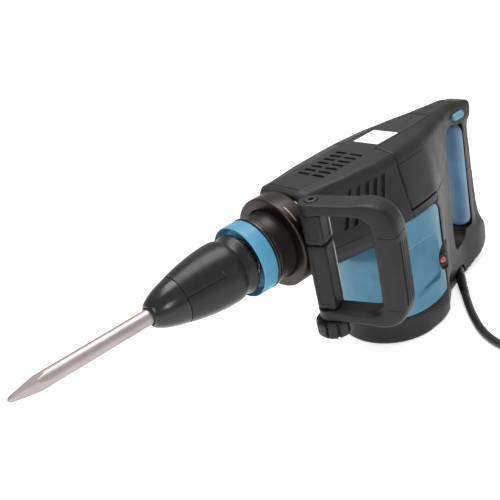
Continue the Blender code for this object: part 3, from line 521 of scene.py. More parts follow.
def sleeve_piece():
    outer = [(36.0, 28.3), (48, 31.3), (62, 34.1), (76, 36.3), (90, 37.7), (99, 38.0), (105, 37.6), (107.5, 37.0)]
    xs, rs = [p[0] for p in outer], [p[1] for p in outer]
    ts = sorted({round(36.0 + 1.3 * k, 2) for k in range(60)} | {80.0, 81.4, 82.0, 82.6, 83.2, 83.8, 107.5})
    line = [(t, float(pchip(xs, rs, t))) for t in ts if t <= 107.5]
    rear = fillet([line[-1], (108.6, 34.9), (111.5, 34.6), (115.5, 34.8), (119.5, 36.0), (122.0, 37.0), (125.0, 37.2), (126.0, 36.2), (126.0, 30.2)], 0.8, 3)
    profile = [(36.0, 24.8)] + line + rear[1:] + [(60.0, 30.2), (52.0, 24.8)]
    edges = [52.5, 69.0]
    angles = set(np.round(np.arange(0, 360, 2.5), 3))
    for k in range(3):
        for e in (52.5, 53.0, 56, 60, 64, 67.5, 68.6, 69.0, 69.4, 69.8):
            angles.add(round((e + 120 * k) % 360, 3))
    angles = [math.radians(a) for a in sorted(angles)]

    def bulge(t, ang, r):
        if r < 27 or t > 86 or r < 30.5 and t > 59 or t <= 35.9:
            return r
        deg = math.degrees(ang) % 120.0
        if not edges[0] <= deg <= edges[1] + 0.9:
            return r
        if deg <= edges[1]:
            depth = 2.1 * (deg - edges[0]) / (edges[1] - edges[0])
        else:
            depth = 2.1 * (1 - (deg - edges[1]) / 0.8)
        depth *= 1 - smooth_step((t - 81.4) / 2.4)
        return r - max(0.0, depth)

    return turned("chuck_sleeve_fine", profile, 0, bulge=bulge, angles=angles, angle=26)


fit(sleeve_piece(), SLEEVE, "chuck_sleeve")


def ring_piece():
    profile = [(136.4, 38.3), (127.5, 42.9), (127.0, 43.7), (128.6, 44.6), (147.2, 44.6), (148.4, 43.6), (148.4, 24.8), (139.2, 24.8), (139.2, 38.3)]
    flats = 20

    def bulge(t, ang, r):
        if r < 42.8:
            return r
        b = (ang + 0.1) % (2 * math.pi / flats) - math.pi / flats
        flat = 44.5 * math.cos(math.pi / flats) / math.cos(b)
        return r - (44.5 - flat) * 0.5

    return turned("change_ring_fine", profile, 0.7, steps=200, bulge=bulge, angle=30)


fit(ring_piece(), BLUE_RING, "change_ring")
fit(turned("ring_seal_fine", [(149.0, 24.8), (149.0, 43.6), (149.8, 45.0), (152.8, 45.0), (153.6, 43.8), (153.6, 24.8)], 0.7), RUBBER, "ring_seal")

# ---------------------------------------------------------------- barrel and clamp band
barrel_profile = [
    (154.0, 24.8), (154.0, 41.6), (155.2, BARREL_R), (158.0, BARREL_R), (158.6, 42.6), (180.6, 42.8), (182.0, 44.6), (183.6, SEAT_R - 0.8), (185.0, SEAT_R - 0.6), (206.4, SEAT_R - 0.6),
    (207.6, 48.0), (207.6, 38.4), (218.6, 38.4), (218.6, 49.6), (226.0, 49.6), (226.0, 28.8), (172.6, 28.8), (172.6, 24.8),
]
barrel = turned("barrel_fine", barrel_profile, 0.9, steps=160)
cut(barrel, group("bolt_ways", [rod(f"way_{k}", 216.0, 240.0, 3.4, centre=c, steps=20) for k, c in enumerate(((-30.8, 30.8), (30.8, 30.8), (30.8, -30.8), (-30.8, -30.8)))]))
fit(barrel, CASTING, "barrel")

band_profile = [(178.6, 43.9), (178.6, BAND_R - 1.4), (179.8, BAND_R - 0.2), (180.6, BAND_R), (202.8, BAND_R), (203.8, BAND_R - 1.0), (203.8, SEAT_R - 0.15), (180.4, SEAT_R - 0.15), (180.4, 43.9)]
fit(turned("clamp_band_fine", band_profile, 0.5, steps=180), BAND, "clamp_band")


def band_highlight_strip(name, t, a0, a1):
    """A bright lip along the band, where it runs into the handle's base: a painted highlight on the band's edge, made
    as a light metal strip.
    """
    loops = []
    for k in range(25):
        w = k / 24
        a = math.radians(a0 + (a1 - a0) * w)
        grow = math.sin(math.pi * min(1.0, 0.08 + w)) ** 0.5 if w < 0.5 else 1.0 - 0.7 * (w - 0.5)
        h = 0.75 * max(0.12, grow)
        loop = []
        for i in range(8):
            b = 2 * math.pi * i / 8
            r = BAND_R + 0.05 + h * 0.8 * math.sin(b)
            loop.append(W(t + h * math.cos(b), -r * math.sin(a), r * math.cos(a)))
        loops.append(loop)
    bm = bmesh.new()
    rings(bm, loops)
    return make(name, bm)


# painted highlight: light strips on the band's front and rear edges
for k, t in enumerate((186.4, 203.2)):
    fit(band_highlight_strip(f"band_highlight_strip_{k + 1}", t, 30.0, 52.0), HIGHLIGHT_STEEL, body="handle_clamp", slot="band_steel")

# ---------------------------------------------------------------- the body's outer section
ROWS = {
    212: [(0, 54.5), (24, 54.5), (36, 51.0), (41, 44.0), (44, 20), (46, -22), (46, -60), (46, -150), (46, -205)],
    217: [(0, 58.0), (26, 58.0), (38, 54.0), (43, 46.0), (45, 20), (48, -22), (48, -60), (48, -150), (48, -205)],
    280: [(0, 58.0), (27, 58.0), (47, 53.5), (52, 46.0), (56, 20), (62, -22), (62, -60), (62, -150), (62, -205)],
    350: [(0, 58.0), (27, 58.0), (51, 53.0), (58, 46.0), (63, 20), (72, -22), (73, -60), (73, -150), (73, -205)],
    400: [(0, 58.0), (26, 58.0), (47, 53.0), (54, 46.0), (60, 20), (68, -22), (69, -60), (69, -150), (66, -205)],
    440: [(0, 57.5), (23, 57.5), (38, 53.0), (44, 46.0), (47, 20), (51, -22), (52, -60), (51, -150), (42, -205)],
    488: [(0, 56.5), (16, 56.5), (25, 52.0), (29, 44.0), (28, 20), (27, -22), (26, -60), (27, -150), (30, -205)],
    516: [(0, 55.5), (13, 55.5), (19, 51.0), (21, 43.0), (18.5, 20), (18, -22), (18, -60), (20, -150), (27, -205)],
    556: [(0, 53.0), (10, 52.5), (16, 47.0), (18, 40.0), (17.5, 20), (17.5, -22), (17.5, -60), (19, -150), (21, -205)],
    583: [(0, 46.0), (6, 46.0), (10, 42.0), (12, 36.0), (12, 20), (12, -22), (12, -60), (14, -150), (13, -205)],
}
KEYS = sorted(ROWS)
TABLE = np.array([ROWS[k] for k in KEYS], float)


def envelope(t):
    return [(float(y), float(z)) for y, z in pchip(KEYS, TABLE, t)]


def width_at(t, z):
    half = envelope(t)
    for (ya, za), (yb, zb) in zip(half, half[1:]):
        if zb <= z <= za and za > zb:
            w = (za - z) / (za - zb)
            return ya * (1 - w) + yb * w
    return half[-1][0]


def against_wall(name, corners, side, inner, outer):
    """A shape on the side wall: corners are (t, z), inner and outer the depths from the
    wall's own surface (inner under it, outer over it)."""
    loops = []
    for depth in (inner, outer):
        loops.append([W(t, side * (width_at(t, z) + depth), z) for t, z in corners])
    bm = bmesh.new()
    rings(bm, loops)
    return make(name, bm)


# ---------------------------------------------------------------- top cover
def cover_half(t, lip):
    """Right half of the cover's section from the top centre down, corners rounded."""
    e = envelope(t)
    y1, z1 = e[1]
    y2, z2 = e[2]
    y3, z3 = e[3]
    raised = 0.7 if lip else 0.0
    crease = smooth_step((t - 246.0) / 16.0) * 0.9
    y38 = width_at(t, 38.6)
    half = [
        (0, z1 - 0.7 + raised), (y1 - 0.5, z1 - 0.7 + raised), (y1 + 0.3, z1 - 0.75), (y2, z2), (y3, z3),
        (y38 + 0.05, 39.0), (width_at(t, 38.0) - crease, 38.2), (width_at(t, 30.0) - crease, 30.0), (width_at(t, 8.0) - crease * 0.5, 8.0), (width_at(t, -8.0), -8.0), (width_at(t, -21.9), -21.9),
    ]
    return fillet(half, [0, 0.3, 0.5, 5.0, 5.0, 0.4, 0.6, 6, 8, 6, 0], 4)


def cover_piece():
    front = [(206.6, 0.80), (207.3, 0.86), (208.6, 0.915), (210.4, 0.955), (212.8, 0.985), (215.6, 1.0)]
    loops = []
    for t, k in front:
        half = cover_half(max(t + 4.0, 215.0), False)
        top = (k - 0.8) / 0.2
        drop = 5.2 * (1 - top) ** 1.7
        half = [(y * (0.90 + 0.10 * top), z - drop * (1 if z > 30 else max(0.0, (z + 21.9) / 52.0))) for y, z in half]
        loops.append([(t, y, z) for y, z in half] + [(t, 0, -21.9)] + [(t, -y, z) for y, z in reversed(half) if y > 0])
    for t in [216.0, 216.5] + list(np.linspace(219.0, 349.2, 56)):
        half = cover_half(t, t > 216.2)
        loops.append([(t, y, z) for y, z in half] + [(t, 0, -21.9)] + [(t, -y, z) for y, z in reversed(half) if y > 0])
    shell = lofted("top_cover_fine", loops, 28)
    strip = []
    for t in np.linspace(346.0, 470.0, 32):
        y1, z1 = envelope(t)[1]
        y1 -= 0.5
        strip.append([(t, -y1, 54.9), (t, y1, 54.9), (t, y1, z1 - 0.3), (t, y1 - 0.35, z1), (t, -y1 + 0.35, z1), (t, -y1, z1 - 0.3)])
    add(shell, lofted("cover_strip", strip, 28), angle=28)
    inner = []
    for t in (227.0, 280, 352):
        half = [(max(0.0, y - 3.6) if y else 0.0, z - (5.0 if z > 50 else 3.5 if z > 30 else 0.0)) for y, z in envelope(t) if z >= -21]
        half += [(width_at(t, -30) - 3.6, -30.0)]
        inner.append([(t, y, z) for y, z in half] + [(t, 0, -30.0)] + [(t, -y, z) for y, z in reversed(half) if y > 0])
    cut(shell, lofted("cover_inside", inner), rod("cover_front_bore", 195, 231, 51.0, steps=120), angle=28)
    vents = []
    for row, y in enumerate((-18.2, 5.6)):
        for k in range(7):
            t = 252.5 + 11.3 * k
            vents.append(prism(f"vent_{row}_{k}", fillet([(t, y - 9.4), (t + 5.2, y - 9.4), (t + 5.2, y + 9.4), (t, y + 9.4)], 2.3, 4, True), 48, 66, axis="z"))
    cut(shell, group("vents", vents), angle=28)
    slots, ribs = [], []
    for side in (-1, 1):
        for k, t in enumerate((273.0, 286.5, 300.5, 313.5, 326.5)):
            lean = 0.40
            top, low = 36.6, -6.0
            a, b = t - 7.0, t - 1.7
            corners = fillet([(a, top), (b, top), (b - lean * (top - low), low), (a - lean * (top - low), low)], 1.6, 3, True)
            slots.append(against_wall(f"slot_{side}_{k}", corners, side, -2.6, 3.0))
            a, b = t - 1.5, t + 0.9
            corners = fillet([(a, top + 0.4), (b, top + 0.4), (b - lean * (top - low), low), (a - lean * (top - low), low)], 0.7, 2, True)
            ribs.append(against_wall(f"rib_{side}_{k}", corners, side, -2.0, 0.9))
    cut(shell, group("slots", slots), angle=28)
    add(shell, group("ribs", ribs), angle=28)
    return shell


fit(cover_piece(), SHELL, "top_cover")


def label_piece():
    outline = fillet([(359.7, -22.5), (400.8, -22.5), (400.8, 18.0), (359.7, 18.0)], 1.6, 5, True)
    bm = bmesh.new()
    rings(bm, [[W(t, y, z) for t, y in outline] for z in (58.02, 58.22)])
    return make("blank_label", bm)


fit(label_piece(), PAPER, body="machine", slot="black_plastic")

# ---------------------------------------------------------------- crank housing
def crank_piece():
    casing = block("crank_housing_fine", (226.8, -39.9, -40.0), (378.0, 39.9, 42.0))
    loops = []
    for t in [226.8, 227.4, 228.6] + list(np.linspace(231, 326.4, 30)):
        w = width_at(t, -22)
        low = -58.0 + 2.0 * smooth_step((t - 226.8) / 62.0)
        k = {226.8: 0.955, 227.4: 0.985, 228.6: 0.997}.get(t, 1.0)
        half = fillet([(0, -22.4), (w - 0.2, -22.4), (w - 1.5, -36.0), (w - 11, -50.0), (w * 0.48, low), (0, low)], [0, 0.6, 8, 9, 9, 0], 5)
        half = [(y * k, -22.4 + (z + 22.4) * k) for y, z in half]
        loops.append([(t, y, z) for y, z in half] + [(t, -y, z) for y, z in reversed(half) if y > 0])
    belly = lofted("belly", loops, 30)
    edge = [(t, width_at(t, -22) - 0.1) for t in (326.0, 335, 344, 350, 358, 366, 374, 382, 390, 398, 404, 409.4)]
    deck = prism("deck", edge + [(t, -y) for t, y in reversed(edge)], -31.6, -22.4, axis="z")
    add(casing, belly, deck)
    inside = [
        block("cavity", (232.0, -36.8, -37.4), (374.0, 36.8, 37.0)), rod("bore", 200, 240, 28.9, steps=80),
        rod("gear_well", -60.0, -30.0, 17.9, "z", (317.0, 0), 48), rod("shaft_hole", -70.0, -30.0, 13.0, "z", (MOTOR_T, 0), 48), rod("breather", 34.0, 60.0, 12.0, "z", (300, 0), 40),
    ]
    cut(casing, *inside)
    ways = [rod(f"cway_{k}", 200.0, 240.0, 3.4, centre=c, steps=20) for k, c in enumerate(((-30.8, 30.8), (30.8, 30.8), (30.8, -30.8), (-30.8, -30.8)))]
    seams = [against_wall(f"deck_seam_{side}", [(352.4, -21.0), (353.4, -21.0), (353.4, -33.0), (352.4, -33.0)], side, -1.2, 2.0) for side in (-1, 1)]
    return cut(casing, group("cways", ways), group("deck_seams", seams))


fit(crank_piece(), SHELL, "crank_housing")

# ---------------------------------------------------------------- motor housing
def plan(inset=0.0, fine=4):
    r = MOTOR_R - inset
    half = [(MOTOR_T - r * math.cos(math.radians(a)), r * math.sin(math.radians(a))) for a in range(0, 91, fine)]
    half[0] = (half[0][0], 0.0)
    for t in (368, 375, 382, 389, 396, 403, SHROUD_T):
        y = float(pchip([361, 382, 396, 410], [73.0, 72.4, 69.6, 65.0], t))
        half.append((float(t), y - inset))
    return half


def plan_loop(inset, last):
    half = [(min(t, last), y) for t, y in plan(inset)]
    return half + [(t, -y) for t, y in reversed(half[1:])]


def motor_piece():
    last = 409.6
    body = prism("motor_housing_fine", plan_loop(0.0, last), CAP_TOP + 0.4, -77.0, axis="z")
    bm = bmesh.new()
    loops = []
    for z, inset in ((-78.0, 0.0), (-76.5, 0.25), (-73.5, 1.3), (-66.0, 4.8), (-58.6, 8.6)):
        loops.append([W(t, y, z) for t, y in plan_loop(inset, last)])
    rings(bm, loops)
    shoulder = make("shoulder", bm)
    upper = [(327.6, width_at(327.6, -40) - 0.8), (334, width_at(334, -40) - 0.3), (342, 71.4), (350, 72.6), (361, 73.0), (372, 72.9), (382, 72.4), (389, 71.2), (396, 69.6), (403, 67.6), (last, 65.0)]
    top = prism("upper", upper + [(t, -y) for t, y in reversed(upper)], -82.0, -32.0, axis="z")
    add(body, shoulder, top)
    # rounded upper rear corner, and the notch round the lamp, on each side
    corner = [(420.0, -20.0), (384.0, -20.0), (384.0, -31.9)] + [(392.0 + 17.6 * math.sin(a), -49.6 + 17.7 * math.cos(a)) for a in np.linspace(0, math.pi / 2, 10)] + [(409.8, -55.0), (409.9, -60.0), (420.0, -62.0)]
    cut(body, prism("corner_left", corner, -90, -30), prism("corner_right", corner, 30, 90))
    moulded(body, 1.25, 4)
    scoops = []
    for side in (-1, 1):
        outline = fillet([(300.0, -70.0), (388.0, -70.0), (397.0, -100.0), (391.0, -136.0), (352.0, -142.0), (300.0, -150.0)], [0, 22, 20, 12, 10, 0], 6, True)
        lo = [W(t, side * 68.9, z) for t, z in outline]
        cx, cz = 345.0, -105.0
        hi = [W(cx + (t - cx) * 1.10, side * 76.0, cz + (z - cz) * 1.10) for t, z in outline]
        bm = bmesh.new()
        rings(bm, [lo, hi])
        scoops.append(make(f"scoop_{side}", bm))
    cut(body, group("scoops", scoops), angle=40)
    moulded(body, 1.25, 3)
    wedge = []
    for side in (-1, 1):
        low = [(352.0, -141.0), (389.0, -138.5), (394.0, -130.0), (378.0, -133.0)]
        bm = bmesh.new()
        rings(bm, [[W(t, side * (66.9 if i in (0, 1) else 68.6), z) for i, (t, z) in enumerate(low)], [W(t + 0.5, side * 76.0, z + 0.3) for t, z in low]])
        wedge.append(make(f"wedge_{side}", bm))
    cut(body, group("wedges", wedge), angle=40)
    cut(body, rod("motor_bore", -190.0, -56.0, 62.0, "z", (MOTOR_T - 4, 0), 96), angle=40)
    cut(body, block("throat", (300.0, -41.6, -59.0), (381.0, 41.6, -20.0)), block("rear_pocket", (392, -52, -190), (430, 52, -60)), angle=40)
    notch = fillet([(396.0, -99.0), (418.0, -96.0), (418.0, -138.0), (397.5, -133.0), (392.6, -118.0)], [9, 0, 0, 9, 10], 6, True)
    cut(body, prism("lamp_notch", notch, -90, -60.5), angle=40)
    return body


fit(motor_piece(), BLUE, "motor_housing")

# ---------------------------------------------------------------- bottom cap
def cap_piece():
    half = plan(0.0) + [(416.0, 61.0), (422.0, 56.6), (428.0, 52.8), (434.0, 49.0), (441.0, 44.6), (448.0, 40.0)]
    whole = half + [(t, -y) for t, y in reversed(half[1:])]
    middle = (372.0, 0.0)

    def loop(z, inset):
        out = []
        for t, y in whole:
            d = Vector((t - middle[0], y))
            d *= 1 - inset / d.length
            out.append(W(middle[0] + d.x, d.y, z))
        return out

    bm = bmesh.new()
    profile = [(FOOT_Z, 5.0), (FOOT_Z + 0.25, 3.4), (FOOT_Z + 1.0, 1.9), (FOOT_Z + 2.4, 0.8), (FOOT_Z + 4.6, 0.15), (FOOT_Z + 7.0, 0.0)]
    profile += [(-175.0, 0.0), (-171.6, 0.0), (-171.0, 0.7), (-170.4, 0.7), (-169.9, 0.0), (-168.6, 0.0), (CAP_TOP, 0.5)]
    rings(bm, [loop(z, i) for z, i in profile])
    body = make("bottom_cap_fine", bm, 30)
    cut(body, rod("cap_bore", -200.5, -160.0, 64.0, "z", (MOTOR_T - 2, 0), 96), block("cap_pocket", (400, -40, -200.5), (443.5, 40, -160)), angle=30)
    seat = turned("cap_seat", [(-201.5, 16.6), (-201.5, 20.5), (-187.0, 20.5), (-187.0, 16.6)], 0, "z", (MOTOR_T, 0), 48)
    return add(body, seat, angle=30)


fit(cap_piece(), SHELL, "bottom_cap")

# ---------------------------------------------------------------- rear housing
def rear_pieces():
    stations = [350.8] + list(np.linspace(354, 583, 48))
    loops = []
    for t in stations:
        half = fillet(envelope(t), [0, 3, 6, 7, 14, 14, 14, 14, 0], 5)
        loops.append([(t, y, z) for y, z in half] + [(t, -y, z) for y, z in reversed(half) if y > 0])
    shell = lofted("rear_shell", loops)
    arc = [(392.0 + 18.2 * math.sin(a), -50.4 + 18.0 * math.cos(a)) for a in np.linspace(math.pi / 2, 0.25, 9)]
    outline = (
        [(350.8, 70.0), (500.0, 70.0)] + fillet([(500.0, 70.0), (536, 53.0), (567.5, 46.0), (565.0, 30.0), (558.5, 12.0), (559.5, -40.0)], [0, 14, 17, 12, 22, 0], 8)[1:-1]
        + [(559.5, -40.0), (563.0, -110.0)] + fillet([(563.0, -110.0), (568.5, -138.0), (579.0, -154.0), (578.5, -184.0), (560.0, -192.0), (520.0, -197.5)], [0, 22, 14, 15, 10, 0], 6)[1:-1]
        + [(520.0, -197.5), (478.0, -203.0), (448.6, -204.0), (448.6, CAP_TOP + 0.4), (410.3, CAP_TOP + 0.4), (410.3, -62.0)] + arc + [(410.3, -32.4), (410.3, -21.6), (350.8, -21.6)]
    )
    keep(shell, prism("rear_outline", outline, -90, 90))
    opening = fillet([(487.0, 25.0), (523.0, 25.0), (523.0, -60.0), (523.0, -144.0), (510.0, -154.0), (485.0, -156.0), (483.0, -120.0), (488.5, -60.0)], [14, 10, 0, 12, 8, 14, 10, 14], 6, True)
    cut(shell, prism("rear_opening", opening, -60, 60))
    moulded(shell, 1.5, 7)
    # the back of the grip is rounder than the body
    for v in shell.data.vertices:
        t, z = v.co.x * 1000 + MOTOR_T, v.co.z * 1000 - AXIS_H
        if t > 541.0:
            v.co.y *= 1 - 0.2 * smooth_step((t - 541.0) / 17.0) * smooth_step((27.0 - z) / 14.0) * smooth_step((z + 152.0) / 24.0)
    # inside of the body part, open at the front
    hollow = []
    for t in (346, 372, 400, 420, 440, 462, 479):
        half = [(max(0.0, y - 4.2) if y else 0.0, z - (5.2 if z > 50 else 4.2 if z > 30 else 0.0)) for y, z in envelope(t)]
        half = [p for p in half if p[1] > -140] + [(width_at(t, -160) - 6.2, -162.0)]
        hollow.append([(t, y, z) for y, z in half] + [(t, 0, -162.0)] + [(t, -y, z) for y, z in reversed(half) if y > 0])
    strip = []
    for t in list(np.linspace(342.0, 470.4, 26)):
        y1, z1 = envelope(t)[1]
        y1 += 0.25
        strip.append([(t, -y1, 54.4), (t, y1, 54.4), (t, y1, z1 + 8), (t, -y1, z1 + 8)])
    lever_slot = fillet([(516.0, 29.6), (541.0, 29.6), (541.0, 41.4), (516.0, 41.4)], 5.8, 8, True)
    seat = fillet([(505.0, 21.8), (541.8, 21.8), (541.8, -138.8), (505.0, -138.8)], [0, 9, 9, 0], 6, True)
    cut(shell, lofted("hollow", hollow), angle=40)
    cut(shell, group("front_tools", [lofted("strip_room", strip), block("dial_slot", (474, -5.2, -52), (495, 5.2, -24)), prism("insert_seat", seat, -40, 40)]), angle=40)
    cut(shell, block("switch_room", (474, -14.2, 27.0), (544, 14.2, 45.2)), angle=40)
    cut(shell, prism("lever_slot", lever_slot, -40.0, 40.0), angle=40)
    # parting lines along both sides, where upper and lower mouldings meet
    lines = []
    for side in (-1, 1):
        for name, z0, z1, a, b, depth in (("low", -23.4, -22.3, 351, 458, 1.1), ("step", 37.9, 38.7, 352, 412, 0.8)):
            loops = []
            for t in np.linspace(a, b, 30):
                bite = depth * (1 - smooth_step((t - b + 24) / 24.0)) - (0.4 if t > b - 0.1 else 0.0)
                w = width_at(t, (z0 + z1) / 2)
                loops.append([W(t, side * y, z) for y, z in ((w - bite, z0), (w - bite, z1), (w + 3.0, z1), (w + 3.0, z0))])
            bm = bmesh.new()
            rings(bm, loops)
            bmesh.ops.recalc_face_normals(bm, faces=bm.faces)
            lines.append(make(f"line_{name}_{side}", bm))
    cut(shell, group("lines", lines), angle=40)
    # a well for the lamp, on the left
    well = fillet([(396.0, -99.0), (424.0, -93.0), (424.0, -141.0), (397.5, -133.0), (392.6, -118.0)], [9, 12, 12, 9, 10], 6, True)
    cut(shell, prism("lamp_well", well, -90, -60.5), angle=40)
    a, b = Vector((506.0, -8.0, -188.4)), Vector((462.0, -51.0, -197.9))
    along = (b - a).normalized()
    side_v = along.cross(Vector((0, 0, 1))).normalized()
    up = side_v.cross(along)
    bm = bmesh.new()
    rings(bm, [[W(*(q + side_v * (10.2 * math.cos(u)) + up * (10.2 * math.sin(u)))) for u in [2 * math.pi * k / 40 for k in range(40)]] for q in (a, b)])
    cut(shell, make("guard_way", bm), angle=40)
    screws = []
    for t, z in ((557.0, 36.0), (558.0, -172.0)):
        w = width_at(t, z) - 2.0
        screws.append(turned("screw_way", [(-9.4, 0), (-9.4, 2.5), (w - 3.9, 2.5), (w - 3.9, 4.7), (60.0, 4.7), (60.0, 0)], 0, "y", (t, z), 32))
    cut(shell, group("screw_ways", screws), angle=40)
    made = []
    for name, side in (("left", -1), ("right", 1)):
        bm = bmesh.new()
        bm.from_mesh(shell.data)
        geom = list(bm.verts) + list(bm.edges) + list(bm.faces)
        found = bmesh.ops.bisect_plane(bm, geom=geom, dist=1e-7, plane_co=(0, side * 0.0002, 0), plane_no=(0, -side, 0), clear_outer=True)
        rim = [e for e in bm.edges if e.is_boundary]
        bmesh.ops.holes_fill(bm, edges=rim)
        made.append(make(f"rear_housing_{name}_fine", bm, 40))
    bpy.data.objects.remove(shell, do_unlink=True)
    return made


left, right = rear_pieces()
fit(left, SHELL, "rear_housing_left")
fit(right, SHELL, "rear_housing_right")

# ---------------------------------------------------------------- grip insert, switch, dial, lamp
def insert_piece():
    loops = []
    low, high = -138.0, 21.0
    for k in range(61):
        z = low + (high - low) * (0.5 - 0.5 * math.cos(math.pi * k / 60))
        end = min(z - low, high - z)
        s = 1.0 if end > 15.0 else max(0.05, math.sqrt(max(0.0, 1 - (1 - end / 15.0) ** 2)))
        loop = []
        for i in range(56):
            a = 2 * math.pi * i / 56
            c, q = math.cos(a), math.sin(a)
            front = c < 0
            reach = 9.3 if front else 7.8
            t = 533.0 + reach * math.copysign(abs(c) ** (0.85 if front else 0.4), c) * (0.45 + 0.55 * s)
            y = 19.5 * math.copysign(abs(q) ** 0.72, q) * (0.2 + 0.8 * s)
            loop.append(W(t, y, z))
        loops.append(loop)
    bm = bmesh.new()
    rings(bm, loops)
    return make("grip_insert_fine", bm, 50)


fit(insert_piece(), BLUE_SOFT, "grip_insert")


def pill(name, a, b, low, high, near, far, soft=1.6, radius=4.7, middle=None):
    """A stadium-shaped bar across the handle, its ends crowned."""
    outline = fillet([(a, low), (b, low), (b, high), (a, high)], radius, 8, True)
    ct, cz = (a + b) / 2, (low + high) / 2
    loops = []
    for y, inset in ((near, 2.6), (near + 0.5, 1.2), (near + soft, 0.25), (near + soft + 1.0, 0.0), (far - soft - 1.0, 0.0), (far - soft, 0.25), (far - 0.5, 1.2), (far, 2.6)):
        kt, kz = 1 - inset / ((b - a) / 2), 1 - inset / ((high - low) / 2)
        loops.append([W(ct + (t - ct) * kt, y, cz + (z - cz) * kz) for t, z in outline])
    bm = bmesh.new()
    rings(bm, loops)
    return make(name, bm, 40)


fit(pill("switch_lever_fine", 517.0, 540.0, 30.6, 40.4, -24.6, 20.6), BLUE_LEVER, "switch_lever")


def dial_piece():
    def bulge(a, ang, r):
        if r < 10.8:
            return r
        return r - 0.55 * max(0.0, math.cos(ang * 30)) ** 2

    return turned("speed_dial_fine", [(-4.6, 0), (-4.6, 10.6), (-3.8, 11.6), (3.8, 11.6), (4.6, 10.6), (4.6, 0)], 0.4, "y", (481.0, -37.0), 180, bulge)


fit(dial_piece(), RUBBER, "speed_dial")


def bezel_piece():
    well = fillet([(396.8, -99.8), (417.0, -98.5), (417.0, -135.5), (398.2, -132.2), (393.6, -118.0)], [8, 3, 3, 8, 9], 6, True)
    floor = prism("lamp_bezel_fine", well, -62.6, -60.8)
    ring = turned("bezel_ring", [(-68.6, 5.4), (-68.6, 8.0), (-67.6, 9.2), (-62.0, 9.2), (-61.4, 9.2), (-60.9, 9.2), (-60.9, 5.4)], 0.4, "y", (402.0, -118.0), 64)
    add(floor, ring)
    return cut(floor, rod("bezel_hole", -80, -50, 5.35, "y", (402.0, -118.0), 64))


fit(bezel_piece(), BLACK, "lamp_bezel")
fit(turned("indicator_lamp_fine", [(-71.0, 0), (-70.9, 1.6), (-70.4, 3.0), (-69.2, 4.3), (-67.6, 5.0), (-56.0, 5.0), (-56.0, 0)], 0.5, "y", (402.0, -118.0), 64), RED, "indicator_lamp")

# ---------------------------------------------------------------- side handle
CT, ST = math.sin(TURN), math.cos(TURN)


def at(s, n, z):
    """s from the bolt outwards, n across the handle to the rear, z up."""
    return (BOLT_T + s * CT + n * ST, BOLT_Y - s * ST + n * CT, z)


def side_handle_piece():
    corners = [(0.0, 53.0), (86.0, 53.0), (86.0, -83.0), (0.0, -83.0)]
    line = fillet(corners, [0, 30, 30, 0], 12)
    path = []
    for (s0, z0), (s1, z1) in zip(line, line[1:]):
        n = max(1, int(math.hypot(s1 - s0, z1 - z0) / 3.0))
        path += [(s0 + (s1 - s0) * k / n, z0 + (z1 - z0) * k / n) for k in range(n)]
    path.append(line[-1])
    dist = [0.0]
    for a, b in zip(path, path[1:]):
        dist.append(dist[-1] + math.hypot(b[0] - a[0], b[1] - a[1]))
    total = dist[-1]
    loops = []
    for i, (s, z) in enumerate(path):
        a, b = path[max(i - 1, 0)], path[min(i + 1, len(path) - 1)]
        d = Vector((b[0] - a[0], b[1] - a[1])).normalized()
        out = Vector((d.y, -d.x)) * -1.0
        far = min(dist[i], total - dist[i])
        w = smooth_step((far - 46.0) / 52.0)
        half_a, half_n = 6.8 + (15.6 - 6.8) * w, 15.5 + (16.6 - 15.5) * w
        power = 0.34 + 0.16 * w
        loop = []
        for k in range(48):
            u = 2 * math.pi * k / 48
            c, q = math.cos(u), math.sin(u)
            x = half_a * math.copysign(abs(c) ** power, c)
            n = half_n * math.copysign(abs(q) ** power, q)
            loop.append(W(*at(s + out.x * x, n, z + out.y * x)))
        loops.append(loop)
    bm = bmesh.new()
    rings(bm, loops)
    body = make("side_handle_fine", bm)
    add(body, rod("eye_top", 46.2, 59.8, 15.5, "z", (BOLT_T, BOLT_Y), 64), rod("eye_low", -89.8, -76.2, 15.5, "z", (BOLT_T, BOLT_Y), 64))
    moulded(body, 0.95, 5)
    # finger side left smooth; the outer side is ribbed
    grooves = []
    for k, (s, n) in enumerate(((100.6, -10.6), (102.5, -5.2), (102.9, 0.2), (102.5, 5.6), (100.6, 11.0))):
        loops = []
        for j in range(33):
            z = 19.0 - 80.0 * j / 32
            end = min(j, 32 - j) / 32 * 80.0
            r = 1.75 * math.sqrt(max(0.02, 1 - max(0.0, 1 - end / 5.0) ** 2))
            loops.append([W(*at(s + r * math.cos(u) * 1.15, n + r * math.sin(u), z)) for u in [2 * math.pi * m / 14 for m in range(14)]])
        bm = bmesh.new()
        rings(bm, loops)
        grooves.append(make(f"groove_{k}", bm))
    for k, z in enumerate((27.0, -68.0)):
        loops = []
        for j in range(41):
            u = math.radians(-105 + 210 * j / 40)
            x, n = math.cos(u), math.sin(u)
            px, pn = 86.0 + 15.7 * math.copysign(abs(x) ** 0.5, x), 16.7 * math.copysign(abs(n) ** 0.5, n)
            o = Vector((math.cos(u), math.sin(u)))
            loops.append([W(*at(px + o.x * 0.8 * math.cos(v), pn + o.y * 0.8 * math.cos(v), z + 0.8 * math.sin(v) - abs(n) * 3.0 * (1 if k == 0 else -1))) for v in [2 * math.pi * m / 8 for m in range(8)]])
        bm = bmesh.new()
        rings(bm, loops)
        grooves.append(make(f"pad_edge_{k}", bm))
    cut(body, group("grooves", grooves), angle=45)
    cut(body, rod("bolt_way", -120, 90, 4.5, "z", (BOLT_T, BOLT_Y), 40), angle=45)
    well = turned("head_well", [(55.0, 0), (55.0, 7.7), (59.2, 7.7), (61.0, 8.8), (90.0, 8.8), (90.0, 0)], 0, "z", (BOLT_T, BOLT_Y), 64)
    return cut(body, well, angle=45)


fit(side_handle_piece(), GRIP, "side_handle")


